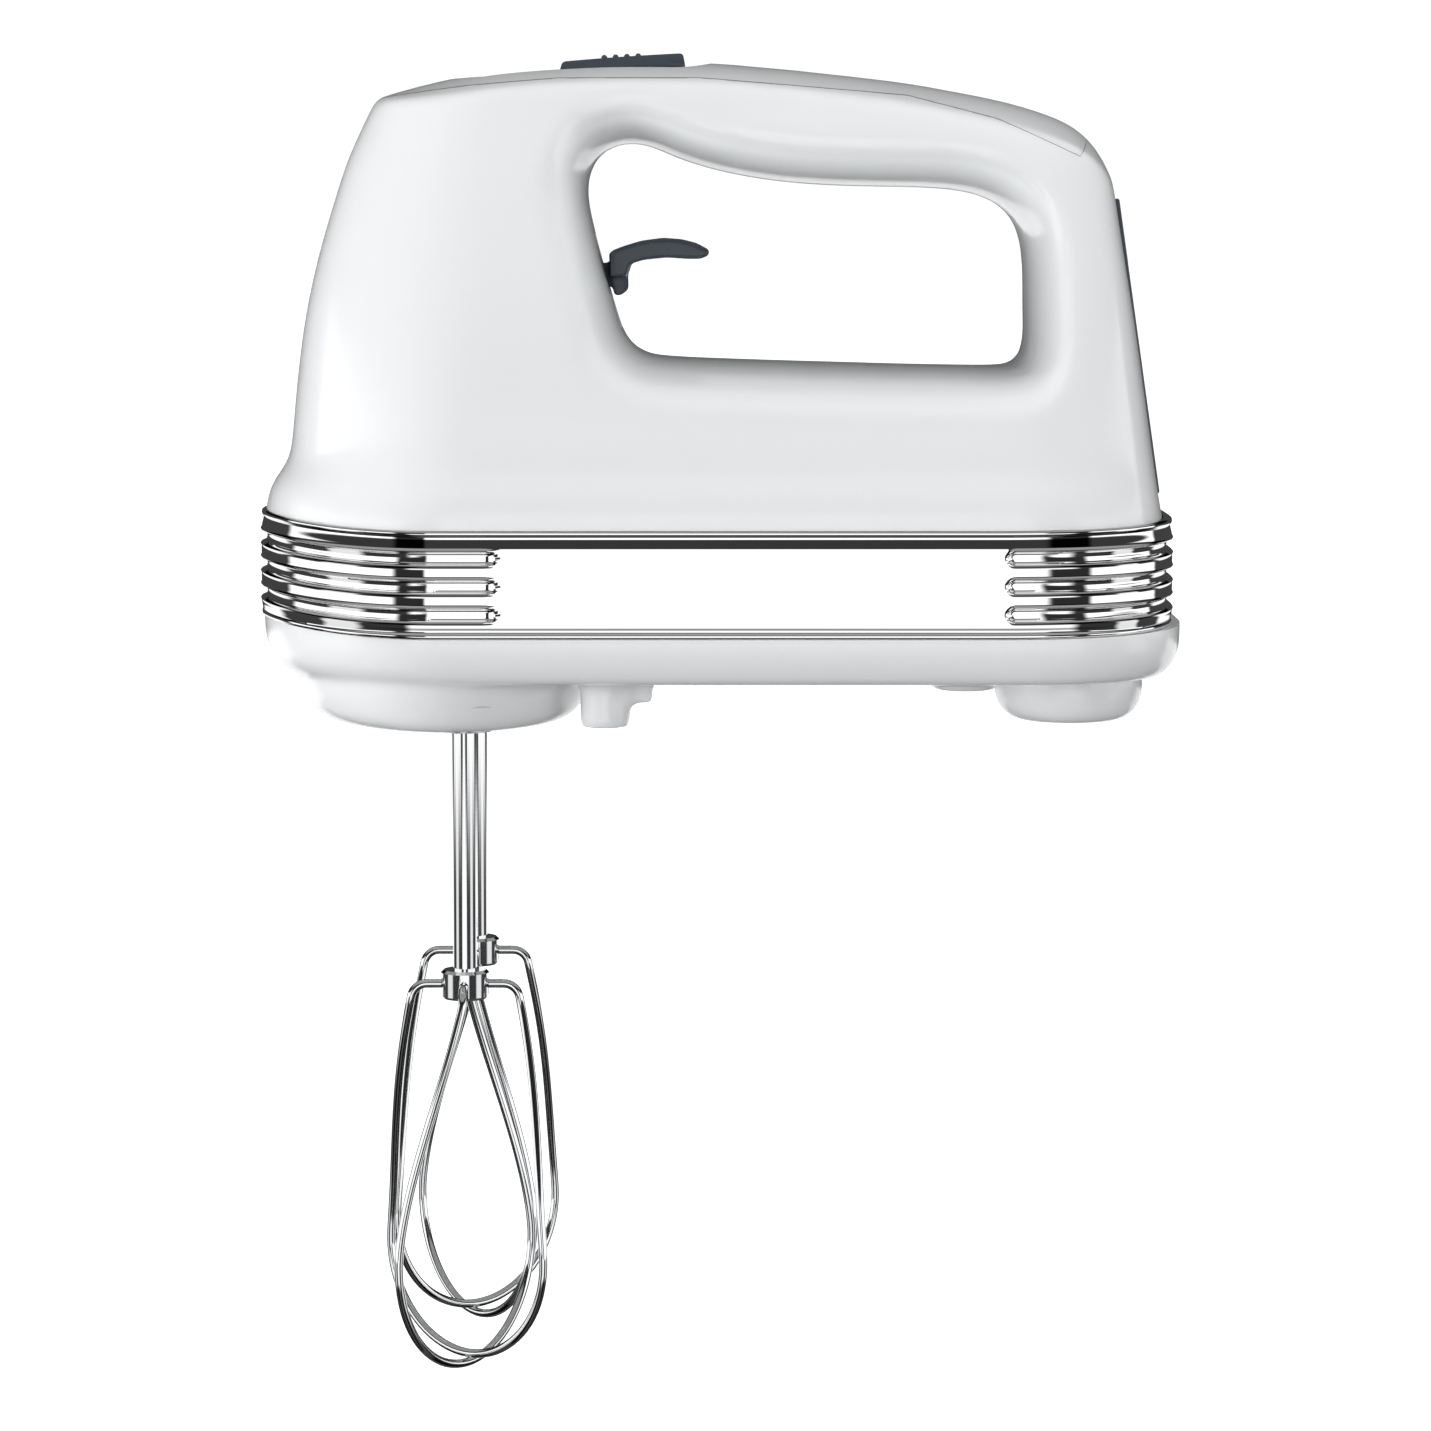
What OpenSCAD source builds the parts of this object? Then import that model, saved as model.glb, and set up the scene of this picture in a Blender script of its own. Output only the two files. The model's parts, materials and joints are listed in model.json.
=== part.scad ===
// Hand mixer with two wire beaters.
// +X runs from the nose to the heel, +Y to the right-hand side, +Z up.
// The origin lies midway between the two chucks, in the plane of their mouths.

/* [Body] */
// Half the width of the body at the trim band
body_half = 44.5; // [44:0.1:46]
// Foremost point of the trim band
nose_x = -45; // [-47:0.1:-44.5]
// Rearmost point of the trim band
heel_x = 151.5; // [151:0.1:153]
// Wall thickness of the mouldings
wall = 2.2; // [1.8:0.1:2.4]
// Height of the trim band's lower edge
band_low = 21.2; // [20.8:0.1:21.6]
// Height of the trim band's upper edge
band_top = 43.9; // [43.5:0.1:44.2]
// Depth of the three grooves round nose and heel
groove_deep = 0.9; // [0.4:0.1:1.2]
// Where the front grooves end on the flanks
groove_front = 7.4; // [0:0.1:20]
// Where the rear grooves begin on the flanks
groove_rear = 114.3; // [100:0.1:120]

/* [Gearbox] */
// Height of the motor axis and of the worm wheels
axis_z = 40; // [39.8:0.1:40.4]
// Sideways distance of each chuck from the middle
chuck_y = 23; // [23:0.5:23]
// Teeth on each worm wheel
teeth = 34; // [34:1:34]
// Face width of the worm wheels
wheel_face = 5; // [4:0.5:5]

/* [Motor] */
// Front face of the stator stack
stator_x = 48; // [47:0.5:50]
// Length of the stator stack
stack_len = 24; // [20:1:24]
// Radius of the armature core
core_r = 13.5; // [12:0.1:13.7]
// Radius of the motor shaft
shaft_r = 2.5; // [2.5:0.1:2.5]

/* [Beaters] */
// Radius of a beater shaft
beater_r = 2.55; // [2.5:0.01:2.56]
// Wire radius
wire_r = 0.95; // [0.8:0.05:1]
// Largest radius of the cage, to the middle of the wire
cage_r = 21.6; // [20:0.1:21.8]
// Height of the beater shaft's top inside the chuck
beater_top = 38; // [36:0.5:38]
// How far the wires wind round the axis on their way down
loop_twist = 38; // [20:1:45]

/* [Controls] */
// Rearmost point of the speed knob
knob_back = 47; // [46:0.1:48]
// Length of the speed knob
knob_len = 27; // [24:0.1:27]
// Travel of the speed knob
knob_travel = 22; // [18:1:22]
// Travel of the eject lever
eject_travel = 5; // [4:0.1:5]

/* [Hidden] */
$fn = 48;

// Side outline of the upper housing: [height, x] of its front and rear edge, and [height, half width].
front_edge = [[43.9, -43.8], [50, -43.3], [53.2, -42], [55.6, -39.8], [58.2, -38.1], [70.7, -37.2],
    [83.4, -35.7], [93.4, -33.9], [104.4, -31.1], [113.3, -28.4], [120.6, -26], [127.6, -22.8],
    [131.9, -21], [134.4, -19.3], [136.7, -11.4], [138.9, -2.4], [140.6, 7], [141.6, 20], [142, 34]];
rear_edge = [[43.9, 149.4], [70, 146], [87, 143.4], [102.5, 141], [115, 139], [120.6, 137.6],
    [123.4, 135.5], [126, 133], [129.4, 129], [131.4, 124], [134.2, 113], [136.2, 103.3],
    [137.8, 94], [141, 63], [142, 50]];
half_width = [[43.9, 44], [50, 43.6], [53.2, 42.6], [55.6, 41.4], [58.2, 40.8], [70, 39], [83.4, 36.5],
    [93.4, 33.6], [104.4, 30.2], [113.3, 27.4], [120.6, 25], [127.6, 22.5], [131.9, 21],
    [134.4, 19.6], [136.7, 17], [138.9, 14], [140.6, 10], [141.6, 7], [142, 4]];
housing_levels = [for (row = half_width) row[0]];
heel_power = 0.606;
plan_steps = 9;

// Corners of the handle opening seen from the side, before they are rounded.
opening_corners = [[25.4, 113], [28.6, 126], [41, 125], [62, 116.6], [118.6, 114.6], [119, 77.6],
    [36.5, 80], [31.5, 90]];
opening_round = 6;
// Side outline of the split between the handle cover and the housing.
cover_split = [[-25, 134.2], [-19.5, 134.2], [0, 136.6], [20, 138.2], [50, 138.2], [94, 134.6],
    [113, 129.5], [130.2, 121.5], [136, 129.4], [136, 150], [-25, 150]];

// Bottom cover: [height, front, rear, half width] of its rim and of the bowl under the nose.
rim_levels = [[11, -37, 147, 37.6], [12.7, -40.3, 150.4, 40.9], [15, -42.4, 152, 42.9],
    [18, -43.7, 152.8, 43.9], [band_low, -44.2, 153, 44.2]];
bowl_levels = [[0, -24, 17, 29], [0.9, -29, 20.5, 31.6], [2.6, -32.6, 23, 33.6], [5, -35.2, 24.6, 35.4],
    [8.8, -37, 26, 37], [11.2, -37.4, 26.6, 37.4]];
floor_z = 11;

// Housing screws: [x, y, lowest point of the boss].
screw_places = [for (side = [-1, 1]) each [[30, side * 24, 0.9], [106, side * 28, 9.3]]];
post_r = 4;

// Gear sizes from a module of one millimetre.
pitch = PI;
wheel_pitch_r = teeth / 2;
worm_pitch_r = chuck_y - wheel_pitch_r;
addendum = 1;
dedendum = 1.25;
tooth_half = 0.55;
flank_slope = 0.27;
worm_len = 20;

spindle_top = 52.5;
chuck_r = 6;
neck_r = 4.6;
chuck_bore = beater_r + 0.05;
ear_half = 3.6;
base_top = 17;
cover_low = 50;
pillar_places = [for (sx = [-1, 1], sy = [-1, 1]) [23 * sx, 12 * sy]];

stator_y = 56;
stator_z = 46;
air_gap = 0.7;
stator_back = stator_x + stack_len;
coil_low = 14.8;
coil_high = 19.2;
arm_in = 23.5;
arm_out = 28.5;
bracket_x = 96;
brush_x = 85.5;
motor_screw_y = 25.5;
knob_floor = 139.5;
slide_gap = 0.2;

hub_z = -54.2;
hub_r = 5.15;
hub_high = 6.2;
bend_r = 3.4;
bend_mid = 8.2;
bend_end = 11.2;
cage_wide = -112;
cage_low = -136.2;

eject_lean = 14.1;
knob_lean = 2.6;
plate_z = 62;
foot_gap = 0.2;

swivel_x = 130;
swivel_hole_r = 12;
swivel_neck_r = 9;
clip_z = 17.1;
clip_r = 7.5;
outlet_z = 5.6;
grommet_r = 4.6;
cord_bore = 3.5;

strip_lean = 8.2;
strip_mid = [143.4, 81];

white = "#e9ecee";
chrome = "#c9cdd1";
slate = "#3b424a";
brass = "#c9a24b";
copper = "#b8693a";
steel = "#9aa0a6";

// ---- shared shapes ----

// Plan outline: an elliptical nose, straight flanks and a squarer heel.
function plan(front, rear, half, nose_len, heel_len) = concat(
    [for (i = [0:2 * plan_steps]) let (t = 90 + 90 * i / plan_steps)
        [front + nose_len * (1 + cos(t)), half * sin(t)]],
    [for (i = [0:2 * plan_steps]) let (t = -90 + 90 * i / plan_steps)
        [rear - heel_len * (1 - pow(abs(cos(t)), heel_power)),
         half * sign(t) * pow(abs(sin(t)), heel_power)]]);

// The band's outline drawn in by a given amount.
function band_plan(inset) = plan(nose_x + inset, heel_x - inset, body_half - inset,
    40 - inset, 39 - inset);

// Convex solid between each outline and the next; an outline is a flat list of [x, y] at its height.
module stack(outlines, heights) {
    for (i = [0:len(outlines) - 2]) {
        low = [for (p = outlines[i]) [p[0], p[1], heights[i]]];
        high = [for (p = outlines[i + 1]) [p[0], p[1], heights[i + 1]]];
        hull() polyhedron(concat(low, high),
            [[for (k = [0:len(low) - 1]) k], [for (k = [0:len(high) - 1]) len(low) + k]]);
    }
}

// Solid upper housing, drawn in and sunk by the inset.
module housing_solid(inset) {
    stack([for (z = housing_levels) let (half = lookup(z, half_width) - inset)
        plan(lookup(z, front_edge) + inset, lookup(z, rear_edge) - inset, half,
            0.9 * half, 0.88 * half)], [for (z = housing_levels) z - inset]);
}

module side_extrude(half) {
    rotate([90, 0, 0]) linear_extrude(2 * half, center = true) children();
}

module opening_shape(grow) {
    offset(r = opening_round + grow) offset(delta = -opening_round) polygon(opening_corners);
}

module heel_block() {
    translate([strip_mid[0], 0, strip_mid[1]]) rotate([0, -strip_lean, 0])
        cube([3, 14, 64], center = true);
}

module along_x(x, z = axis_z) {
    translate([x, 0, z]) rotate([0, 90, 0]) children();
}

// ---- casings ----

module housing_shell() {
    difference() {
        housing_solid(0);
        difference() {
            housing_solid(wall);
            side_extrude(60) opening_shape(wall);
        }
    }
}

module upper_housing() {
    color(white) difference() {
        union() {
            housing_shell();
            intersection() {
                housing_solid(wall / 2);
                housing_ribs();
            }
            for (place = screw_places) translate([place[0], place[1], base_top])
                cylinder(r = post_r, h = 60 - base_top);
        }
        side_extrude(60) opening_shape(0);
        side_extrude(60) polygon(cover_split);
        for (place = screw_places) translate([place[0], place[1], base_top - 1])
            cylinder(r = 1.45, h = 25, $fn = 24);
        // slot for the eject lever
        translate([29, 0, 95.5]) rotate([0, -eject_lean, 0]) cube([14, 11, 22], center = true);
        heel_block();
    }
}

// Ribs that carry the screw posts and the speed switch.
module housing_ribs() {
    for (place = screw_places) translate([place[0] - 1, place[1] > 0 ? place[1] : -60, 46])
        cube([2, 60 - abs(place[1]), 14]);
    for (x = [12, 38], side = [-1, 1]) translate([x, side > 0 ? 10 : -40, 128.2])
        cube([2, 30, 4]);
}

module handle_cover() {
    color(white) difference() {
        intersection() {
            housing_solid(0);
            side_extrude(60) polygon(cover_split);
        }
        // sunken track for the speed knob, and the slot for its tongue
        translate([knob_back - knob_len, 0, knob_floor]) rotate([0, -knob_lean, 0]) {
            translate([-24, -8.5, 0]) cube([54, 17, 10]);
            translate([-18, -2.6, -10]) cube([44, 5.2, 12]);
        }
    }
}

module trim_band() {
    high = band_top - band_low;
    rib = high / 7;
    color(chrome) translate([0, 0, band_low]) difference() {
        linear_extrude(high) polygon(band_plan(0));
        translate([0, 0, -1]) linear_extrude(high + 2) polygon(band_plan(wall));
        for (i = [1, 3, 5]) translate([0, 0, i * rib]) difference() {
            for (x = [groove_front - 50, groove_rear + 50]) translate([x, 0, rib / 2])
                cube([100, 120, rib], center = true);
            translate([0, 0, -1]) linear_extrude(rib + 2) polygon(band_plan(groove_deep));
        }
    }
}

function bowl_plan(row, inset) = let (half = (row[2] - row[1]) / 2)
    [for (i = [0:39]) [(row[1] + row[2]) / 2 + (half - inset) * cos(9 * i),
        (row[3] - inset) * sin(9 * i)]];

// Solid bottom cover, drawn in and raised by the inset.
module cover_solid(inset) {
    stack([for (row = rim_levels)
        plan(row[1] + inset, row[2] - inset, row[3] - inset, 40 - inset, 39 - inset)],
        [for (row = rim_levels) row[0] + inset]);
    stack([for (row = bowl_levels) bowl_plan(row, inset)], [for (row = bowl_levels) row[0] + inset]);
}

module bottom_cover() {
    color(white) difference() {
        union() {
            difference() {
                cover_solid(0);
                cover_solid(wall);
            }
            for (place = screw_places) translate([place[0], place[1], place[2]])
                cylinder(r = place[2] < 5 ? 5.4 : 6.6, h = base_top - place[2]);
            for (x = [50, 66]) translate([x, -26, floor_z + 1]) cube([4, 52, 17 - floor_z - 1]);
            translate([111, -22, floor_z + 1]) cube([4, 44, 20 - floor_z - 1]);
            translate([121, 4, floor_z + 1]) cube([14, 17, 9]);
            for (side = [-1, 1]) translate([-12, side * 8 - 2, 1]) cube([24, 4, 13]);
        }
        for (side = [-1, 1]) translate([0, side * chuck_y, -1]) cylinder(r = 7, h = 12);
        for (place = screw_places) translate([place[0], place[1], place[2]]) {
            translate([0, 0, -1]) cylinder(r = 1.6, h = 30, $fn = 24);
            translate([0, 0, -1]) cylinder(r = 3.3, h = 3.5, $fn = 32);
        }
        translate([swivel_x, 0, floor_z - 1]) cylinder(r = swivel_hole_r, h = 10);
        // the board stands in a slot, and the gearbox bosses reach down past the ribs
        translate([112, -20.2, 17]) cube([1.6, 40.4, 10]);
        for (side = [-1, 1]) translate([0, side * chuck_y, 6]) cylinder(r = 12.3, h = 20);
    }
}

module heel_strip() {
    color(slate) heel_block();
}

module housing_screws() {
    color(steel) for (place = screw_places) translate([place[0], place[1], place[2] + 0.4]) {
        cylinder(r = 3, h = 2);
        cylinder(r = 1.4, h = 32 - place[2]);
    }
}

// ---- gearbox ----

module gearbox_outline() {
    square([44, 38], center = true);
    for (side = [-1, 1]) translate([0, side * chuck_y]) circle(r = 12.2);
    for (place = pillar_places) translate(place) circle(r = 4);
}

module gearbox_base() {
    color("#b9bec2") difference() {
        union() {
            translate([0, 0, 14]) linear_extrude(base_top - 14) gearbox_outline();
            for (side = [-1, 1]) translate([0, side * chuck_y, 6]) cylinder(r = 12, h = 11);
            for (place = pillar_places) translate([place[0], place[1], base_top - 1])
                cylinder(r = 3, h = cover_low - base_top + 1);
            translate([-26, -8, 14]) cube([6, 16, 34]);
        }
        for (side = [-1, 1]) translate([0, side * chuck_y, 5]) cylinder(r = 9, h = 13);
        for (place = pillar_places) translate([place[0], place[1], 38])
            cylinder(r = 1.55, h = 20);
        along_x(-27) cylinder(r = 6, h = 8);
    }
}

module gearbox_cover() {
    color("#b9bec2") difference() {
        union() {
            translate([0, 0, cover_low]) linear_extrude(3) gearbox_outline();
            for (side = [-1, 1]) translate([0, side * chuck_y, 46]) cylinder(r = 8, h = 7);
        }
        for (side = [-1, 1]) translate([0, side * chuck_y, 45]) cylinder(r = neck_r + 0.05, h = 10);
        for (place = pillar_places) translate([place[0], place[1], 49]) cylinder(r = 1.7, h = 5);
    }
}

module gearbox_screws() {
    color(steel) for (place = pillar_places) translate([place[0], place[1], 0]) {
        translate([0, 0, 53]) cylinder(r = 2.8, h = 2);
        translate([0, 0, 41]) cylinder(r = 1.5, h = 13);
    }
}

module spindle_bush(side) {
    color(brass) translate([0, side * chuck_y, 6]) difference() {
        cylinder(r = 9, h = 11);
        translate([0, 0, -1]) cylinder(r = chuck_r + 0.06, h = 13);
    }
}

module chuck(side) {
    color(steel) translate([0, side * chuck_y, 0]) difference() {
        union() {
            cylinder(r = chuck_r, h = axis_z - wheel_face / 2);
            translate([0, 0, base_top + 0.2]) cylinder(r = 8.5, h = 1.4);
            cylinder(r = neck_r, h = spindle_top);
        }
        translate([0, 0, -1]) cylinder(r = chuck_bore, h = spindle_top + 2);
        translate([-0.85, -ear_half - 0.3, -1]) cube([1.7, 2 * ear_half + 0.6, beater_top + 2]);
    }
}

// Half the angular width of a wheel tooth at a given radius, in degrees.
function tooth_angle(r) = (tooth_half - flank_slope * (r - wheel_pitch_r)) / r * 180 / PI;

module worm_wheel(side) {
    tip = wheel_pitch_r + addendum;
    root = wheel_pitch_r - dedendum;
    // the thread is half a pitch further on at the worm's right-hand side
    color("#e6dcc0") translate([0, side * chuck_y, axis_z - wheel_face / 2]) difference() {
        linear_extrude(wheel_face) rotate(-90 * side) polygon([for (i = [0:teeth - 1])
            let (a = 360 * (i + (side > 0 ? 0 : 0.5)) / teeth) each [
                root * [cos(a - tooth_angle(root)), sin(a - tooth_angle(root))],
                tip * [cos(a - tooth_angle(tip)), sin(a - tooth_angle(tip))],
                tip * [cos(a + tooth_angle(tip)), sin(a + tooth_angle(tip))],
                root * [cos(a + tooth_angle(root)), sin(a + tooth_angle(root))]]]);
        translate([0, 0, -1]) cylinder(r = neck_r + 0.02, h = wheel_face + 2);
        for (z = [-1, wheel_face - 1.2]) translate([0, 0, z]) difference() {
            cylinder(r = 13.6, h = 2.2);
            cylinder(r = 8, h = 2.2);
        }
    }
}

module wheel_clip(side) {
    color(steel) translate([0, side * chuck_y, axis_z + wheel_face / 2]) difference() {
        cylinder(r = 7, h = 0.8);
        translate([0, 0, -1]) cylinder(r = neck_r + 0.02, h = 3);
    }
}

// Radius of the worm's cross-section at a given angle; the thread tops out at half a turn.
function worm_r(angle) = let (reach = abs(angle - 180) / 360 * pitch)
    worm_pitch_r + max(-dedendum, min(addendum, (tooth_half - reach) / flank_slope));

module worm() {
    turns = worm_len / pitch;
    angles = [0, 36, 72, 95, 117, 149, 180, 211, 243, 265, 288, 324];
    color(steel) translate([-worm_len / 2, 0, axis_z]) rotate([0, 90, 0])
        linear_extrude(worm_len, twist = -360 * turns, slices = ceil(10 * turns), $fn = 0) difference() {
            polygon([for (a = angles) let (b = a + 90 - 180 * turns) worm_r(a) * [cos(b), sin(b)]]);
            circle(r = shaft_r + 0.2, $fn = 12);
        }
}

// ---- motor ----

module motor_stator() {
    color("#7b8086") along_x(stator_x) linear_extrude(stack_len) difference() {
        square([stator_z, stator_y], center = true);
        circle(r = core_r + air_gap);
        for (sz = [-1, 1], sy = [-1, 1])
            translate([sz * (coil_low + coil_high) / 2, sy * 16.6])
                square([coil_high - coil_low + 0.4, 9.4], center = true);
        for (sy = [-1, 1]) translate([0, sy * motor_screw_y]) circle(r = 1.6);
    }
}

module field_coil(up) {
    mid = (coil_low + coil_high) / 2;
    color(copper) translate([stator_x + stack_len / 2, 0, axis_z + up * mid]) difference() {
        cube([stack_len + 12, 42, coil_high - coil_low], center = true);
        cube([stack_len + 0.2, 24.2, 10], center = true);
    }
}

module motor_shaft() {
    color(steel) along_x(-27) cylinder(r = shaft_r, h = 130);
}

module armature_slots(long, wide) {
    for (i = [0:11]) rotate(30 * i) translate([10.4, 0]) square([long, wide], center = true);
}

module armature_core() {
    color("#8b9096") along_x(stator_x) linear_extrude(stack_len) difference() {
        circle(r = core_r);
        armature_slots(6.8, 2.6);
        circle(r = shaft_r);
    }
}

module armature_windings() {
    color(copper) along_x(stator_x) {
        linear_extrude(stack_len) armature_slots(5.8, 2.4);
        for (z = [-5, stack_len]) translate([0, 0, z]) linear_extrude(5) difference() {
            circle(r = 13.2);
            circle(r = 4.5);
        }
    }
}

module commutator() {
    color(copper) along_x(80.5) linear_extrude(10) difference() {
        circle(r = 8);
        circle(r = shaft_r);
        for (i = [0:11]) rotate(30 * i + 15) translate([8, 0]) square([1.6, 0.5], center = true);
    }
}

module cooling_fan() {
    color("#d8d2c4") along_x(33) {
        linear_extrude(1.2) difference() {
            circle(r = 19);
            circle(r = shaft_r);
        }
        linear_extrude(7) difference() {
            circle(r = 6);
            circle(r = shaft_r);
        }
        translate([0, 0, 1]) linear_extrude(5.5) for (i = [0:8]) rotate(40 * i)
            translate([12, 0]) rotate(20) square([13, 1.2], center = true);
    }
}

module bearing(x, outer, long) {
    color(brass) along_x(x) difference() {
        cylinder(r = outer, h = long);
        translate([0, 0, -1]) cylinder(r = shaft_r + 0.05, h = long + 2);
    }
}

module bearing_bracket() {
    color("#b9bec2") difference() {
        union() {
            translate([bracket_x, -arm_out, axis_z - 12]) cube([3, 2 * arm_out, 24]);
            for (side = [-1, 1]) translate([stator_back, side > 0 ? arm_in : -arm_out, axis_z - 6])
                cube([bracket_x - stator_back + 1, arm_out - arm_in, 12]);
            along_x(bracket_x - 2) cylinder(r = 10, h = 5);
        }
        along_x(bracket_x - 5) cylinder(r = 7, h = 12);
        for (side = [-1, 1]) translate([0, side * motor_screw_y, 0]) along_x(stator_back - 1)
            cylinder(r = 1.6, h = 40);
    }
}

module motor_screws() {
    color(steel) for (side = [-1, 1]) translate([0, side * motor_screw_y, 0]) {
        along_x(bracket_x + 3) cylinder(r = 2.6, h = 2);
        along_x(54) cylinder(r = 1.5, h = bracket_x + 4 - 54);
    }
}

module brush_holder(side) {
    color("#4a3b30") translate([brush_x, side * (arm_in + 9.6) / 2, axis_z]) difference() {
        cube([8.6, arm_in - 9.6, 8.6], center = true);
        cube([6.2, 40, 6.2], center = true);
    }
}

module carbon_brush(side) {
    color("#2b2b2d") translate([brush_x, side * 13.2, axis_z]) cube([6, 9.8, 6], center = true);
}

module brush_spring(side) {
    color(steel) translate([brush_x, side * 18.1, axis_z]) rotate([-90 * side, 0, 0])
        coil(radius = 2, wire = 0.4, high = 5.4, turns = 4);
}

// A round spring standing on the ground, swept as a polyhedron.
module coil(radius, wire, high, turns, sides = 6, per_turn = 12) {
    rings = turns * per_turn;
    rise = (high - 2 * wire) / rings;
    points = [for (i = [0:rings], k = [0:sides - 1])
        let (a = 360 * i / per_turn, b = 360 * k / sides, r = radius - wire + wire * cos(b))
            [r * cos(a), r * sin(a), wire + rise * i + wire * sin(b)]];
    tube(points, rings, sides);
}

// Closed tube over rings of points that go round anticlockwise as seen from behind.
module tube(points, rings, sides) {
    polyhedron(points, concat(
        [[for (k = [0:sides - 1]) k]],
        [for (i = [0:rings - 1], k = [0:sides - 1]) let (n = (k + 1) % sides)
            [i * sides + k, (i + 1) * sides + k, (i + 1) * sides + n, i * sides + n]],
        [[for (k = [sides - 1:-1:0]) rings * sides + k]]));
}

// ---- controls ----

module ejector_plate() {
    color("#d8d2c4") {
        translate([-5, -chuck_y - 3.5, plate_z]) cube([16, 2 * chuck_y + 7, 2]);
        for (side = [-1, 1]) translate([0, side * chuck_y, beater_top + eject_travel + 0.3])
            cylinder(r = 2, h = plate_z + 1 - beater_top - eject_travel - 0.3);
        translate([0, 0, plate_z - 3.5]) cylinder(r = 2, h = 4);
    }
}

module ejector_spring() {
    color(steel) translate([0, 0, cover_low + 3])
        coil(radius = 4, wire = 0.5, high = plate_z - cover_low - 3, turns = 5);
}

module eject_lever() {
    color(slate) {
        // finger blade, stem and the arm down to the ejector plate
        side_extrude(11) polygon([[31, 96], [34.4, 96], [34.6, 98.9], [37.2, 99.8], [43, 100.3],
            [49.5, 100], [51.9, 100.6], [51.6, 101.6], [48.4, 103.4], [42.5, 104.4], [37, 103.7],
            [33.5, 102.6], [31, 101.8]]);
        side_extrude(5) polygon([[30.4, 101], [34.4, 101], [34.4, 93], [32.8, 92], [31.6, 92]]);
        side_extrude(4.5) polygon([[33, 99], [33, 94], [13, 94], [13, plate_z + 2 + foot_gap],
            [6, plate_z + 2 + foot_gap], [6, 99]]);
    }
}

module speed_knob() {
    color(slate) translate([knob_back - knob_len, 0, knob_floor + slide_gap]) rotate([0, -knob_lean, 0]) {
        hull() {
            translate([0, -7.5, 0]) cube([knob_len, 15, 1.4]);
            translate([2, -6, 0]) cube([knob_len - 4, 12, 3.2]);
        }
        for (i = [0:3]) translate([knob_len * (0.36 + 0.09 * i), 5, 3.2]) rotate([90, 0, 0])
            cylinder(r = 0.6, h = 10, $fn = 24);
        translate([9, -2, -8.5]) cube([8, 4, 9.5]);
    }
}

module speed_switch() {
    color("#26282b") difference() {
        translate([-4, -10, 128.2]) cube([52, 20, 5.6]);
        translate([0, -2.6, 130.4]) cube([46, 5.2, 20]);
    }
}

module circuit_board() {
    color("#3e6b4a") translate([112, -20, 17]) cube([1.6, 40, 42]);
}

module suppressor_capacitor() {
    color("#8c6a2e") translate([113.6, -17, 38]) cube([8, 15, 18]);
}

module heat_sink() {
    color(chrome) translate([113.6, 3, 36]) {
        cube([1.6, 14, 20]);
        for (i = [0:3]) translate([0, 4 * i, 0]) cube([9, 1.6, 20]);
    }
}

module terminal_block() {
    color("#d8d2c4") difference() {
        translate([122, 5, 21]) cube([12, 15, 10]);
        for (y = [9, 16]) translate([121, y, 25]) rotate([0, 90, 0]) cylinder(r = 1.6, h = 14);
    }
}

// ---- cord swivel ----

module swivel_ring() {
    color("#d8d2c4") translate([swivel_x, 0, floor_z]) difference() {
        cylinder(r = swivel_hole_r - 0.1, h = 6);
        translate([0, 0, -1]) cylinder(r = swivel_neck_r + 0.06, h = 8);
    }
}

module cord_swivel() {
    color(white) translate([swivel_x, 0, 0]) difference() {
        rotate_extrude() polygon([[0, 0], [11, 0], [14.4, 1.8], [16, 5], [16, 10.7],
            [swivel_neck_r, 10.7], [swivel_neck_r, clip_z], [clip_r, clip_z], [clip_r, 19.6], [0, 19.6]]);
        translate([0, 0, outlet_z]) cylinder(r = 4.2, h = 20);
        translate([0, -2, outlet_z]) rotate([-90, 0, 0]) cylinder(r = grommet_r, h = 20);
    }
}

module swivel_clip() {
    color(steel) translate([swivel_x, 0, clip_z]) difference() {
        cylinder(r = 11, h = 1.2);
        translate([0, 0, -1]) cylinder(r = clip_r, h = 4);
    }
}

module cord_grommet() {
    color(slate) translate([swivel_x, 9.5, outlet_z]) rotate([-90, 0, 0]) difference() {
        cylinder(r = grommet_r, h = 6.6);
        translate([0, 0, -1]) cylinder(r = cord_bore, h = 9);
    }
}

// ---- beaters ----

module beater_shaft(side) {
    color(chrome) translate([0, side * chuck_y, 0]) difference() {
        union() {
            translate([0, 0, hub_z - 3.3]) cylinder(r = beater_r, h = beater_top - hub_z + 3.3);
            translate([-0.7, -ear_half, 24]) cube([1.4, 2 * ear_half, 8]);
        }
        translate([0, 0, 12]) difference() {
            cylinder(r = beater_r + 1, h = 1.2);
            cylinder(r = beater_r - 0.4, h = 1.2);
        }
    }
}

module beater_hub(side) {
    color(chrome) translate([0, side * chuck_y, hub_z - hub_high / 2]) difference() {
        cylinder(r = hub_r, h = hub_high);
        translate([0, 0, -1]) cylinder(r = beater_r, h = hub_high + 2);
        for (i = [0:3]) rotate(90 * i) translate([3.1, 0, hub_high / 2])
            rotate([0, 90, 0]) cylinder(r = wire_r + 0.05, h = 4);
    }
}

function bezier(a, b, c, d, t) = pow(1 - t, 3) * a + 3 * pow(1 - t, 2) * t * b
    + 3 * (1 - t) * t * t * c + pow(t, 3) * d;

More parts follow.
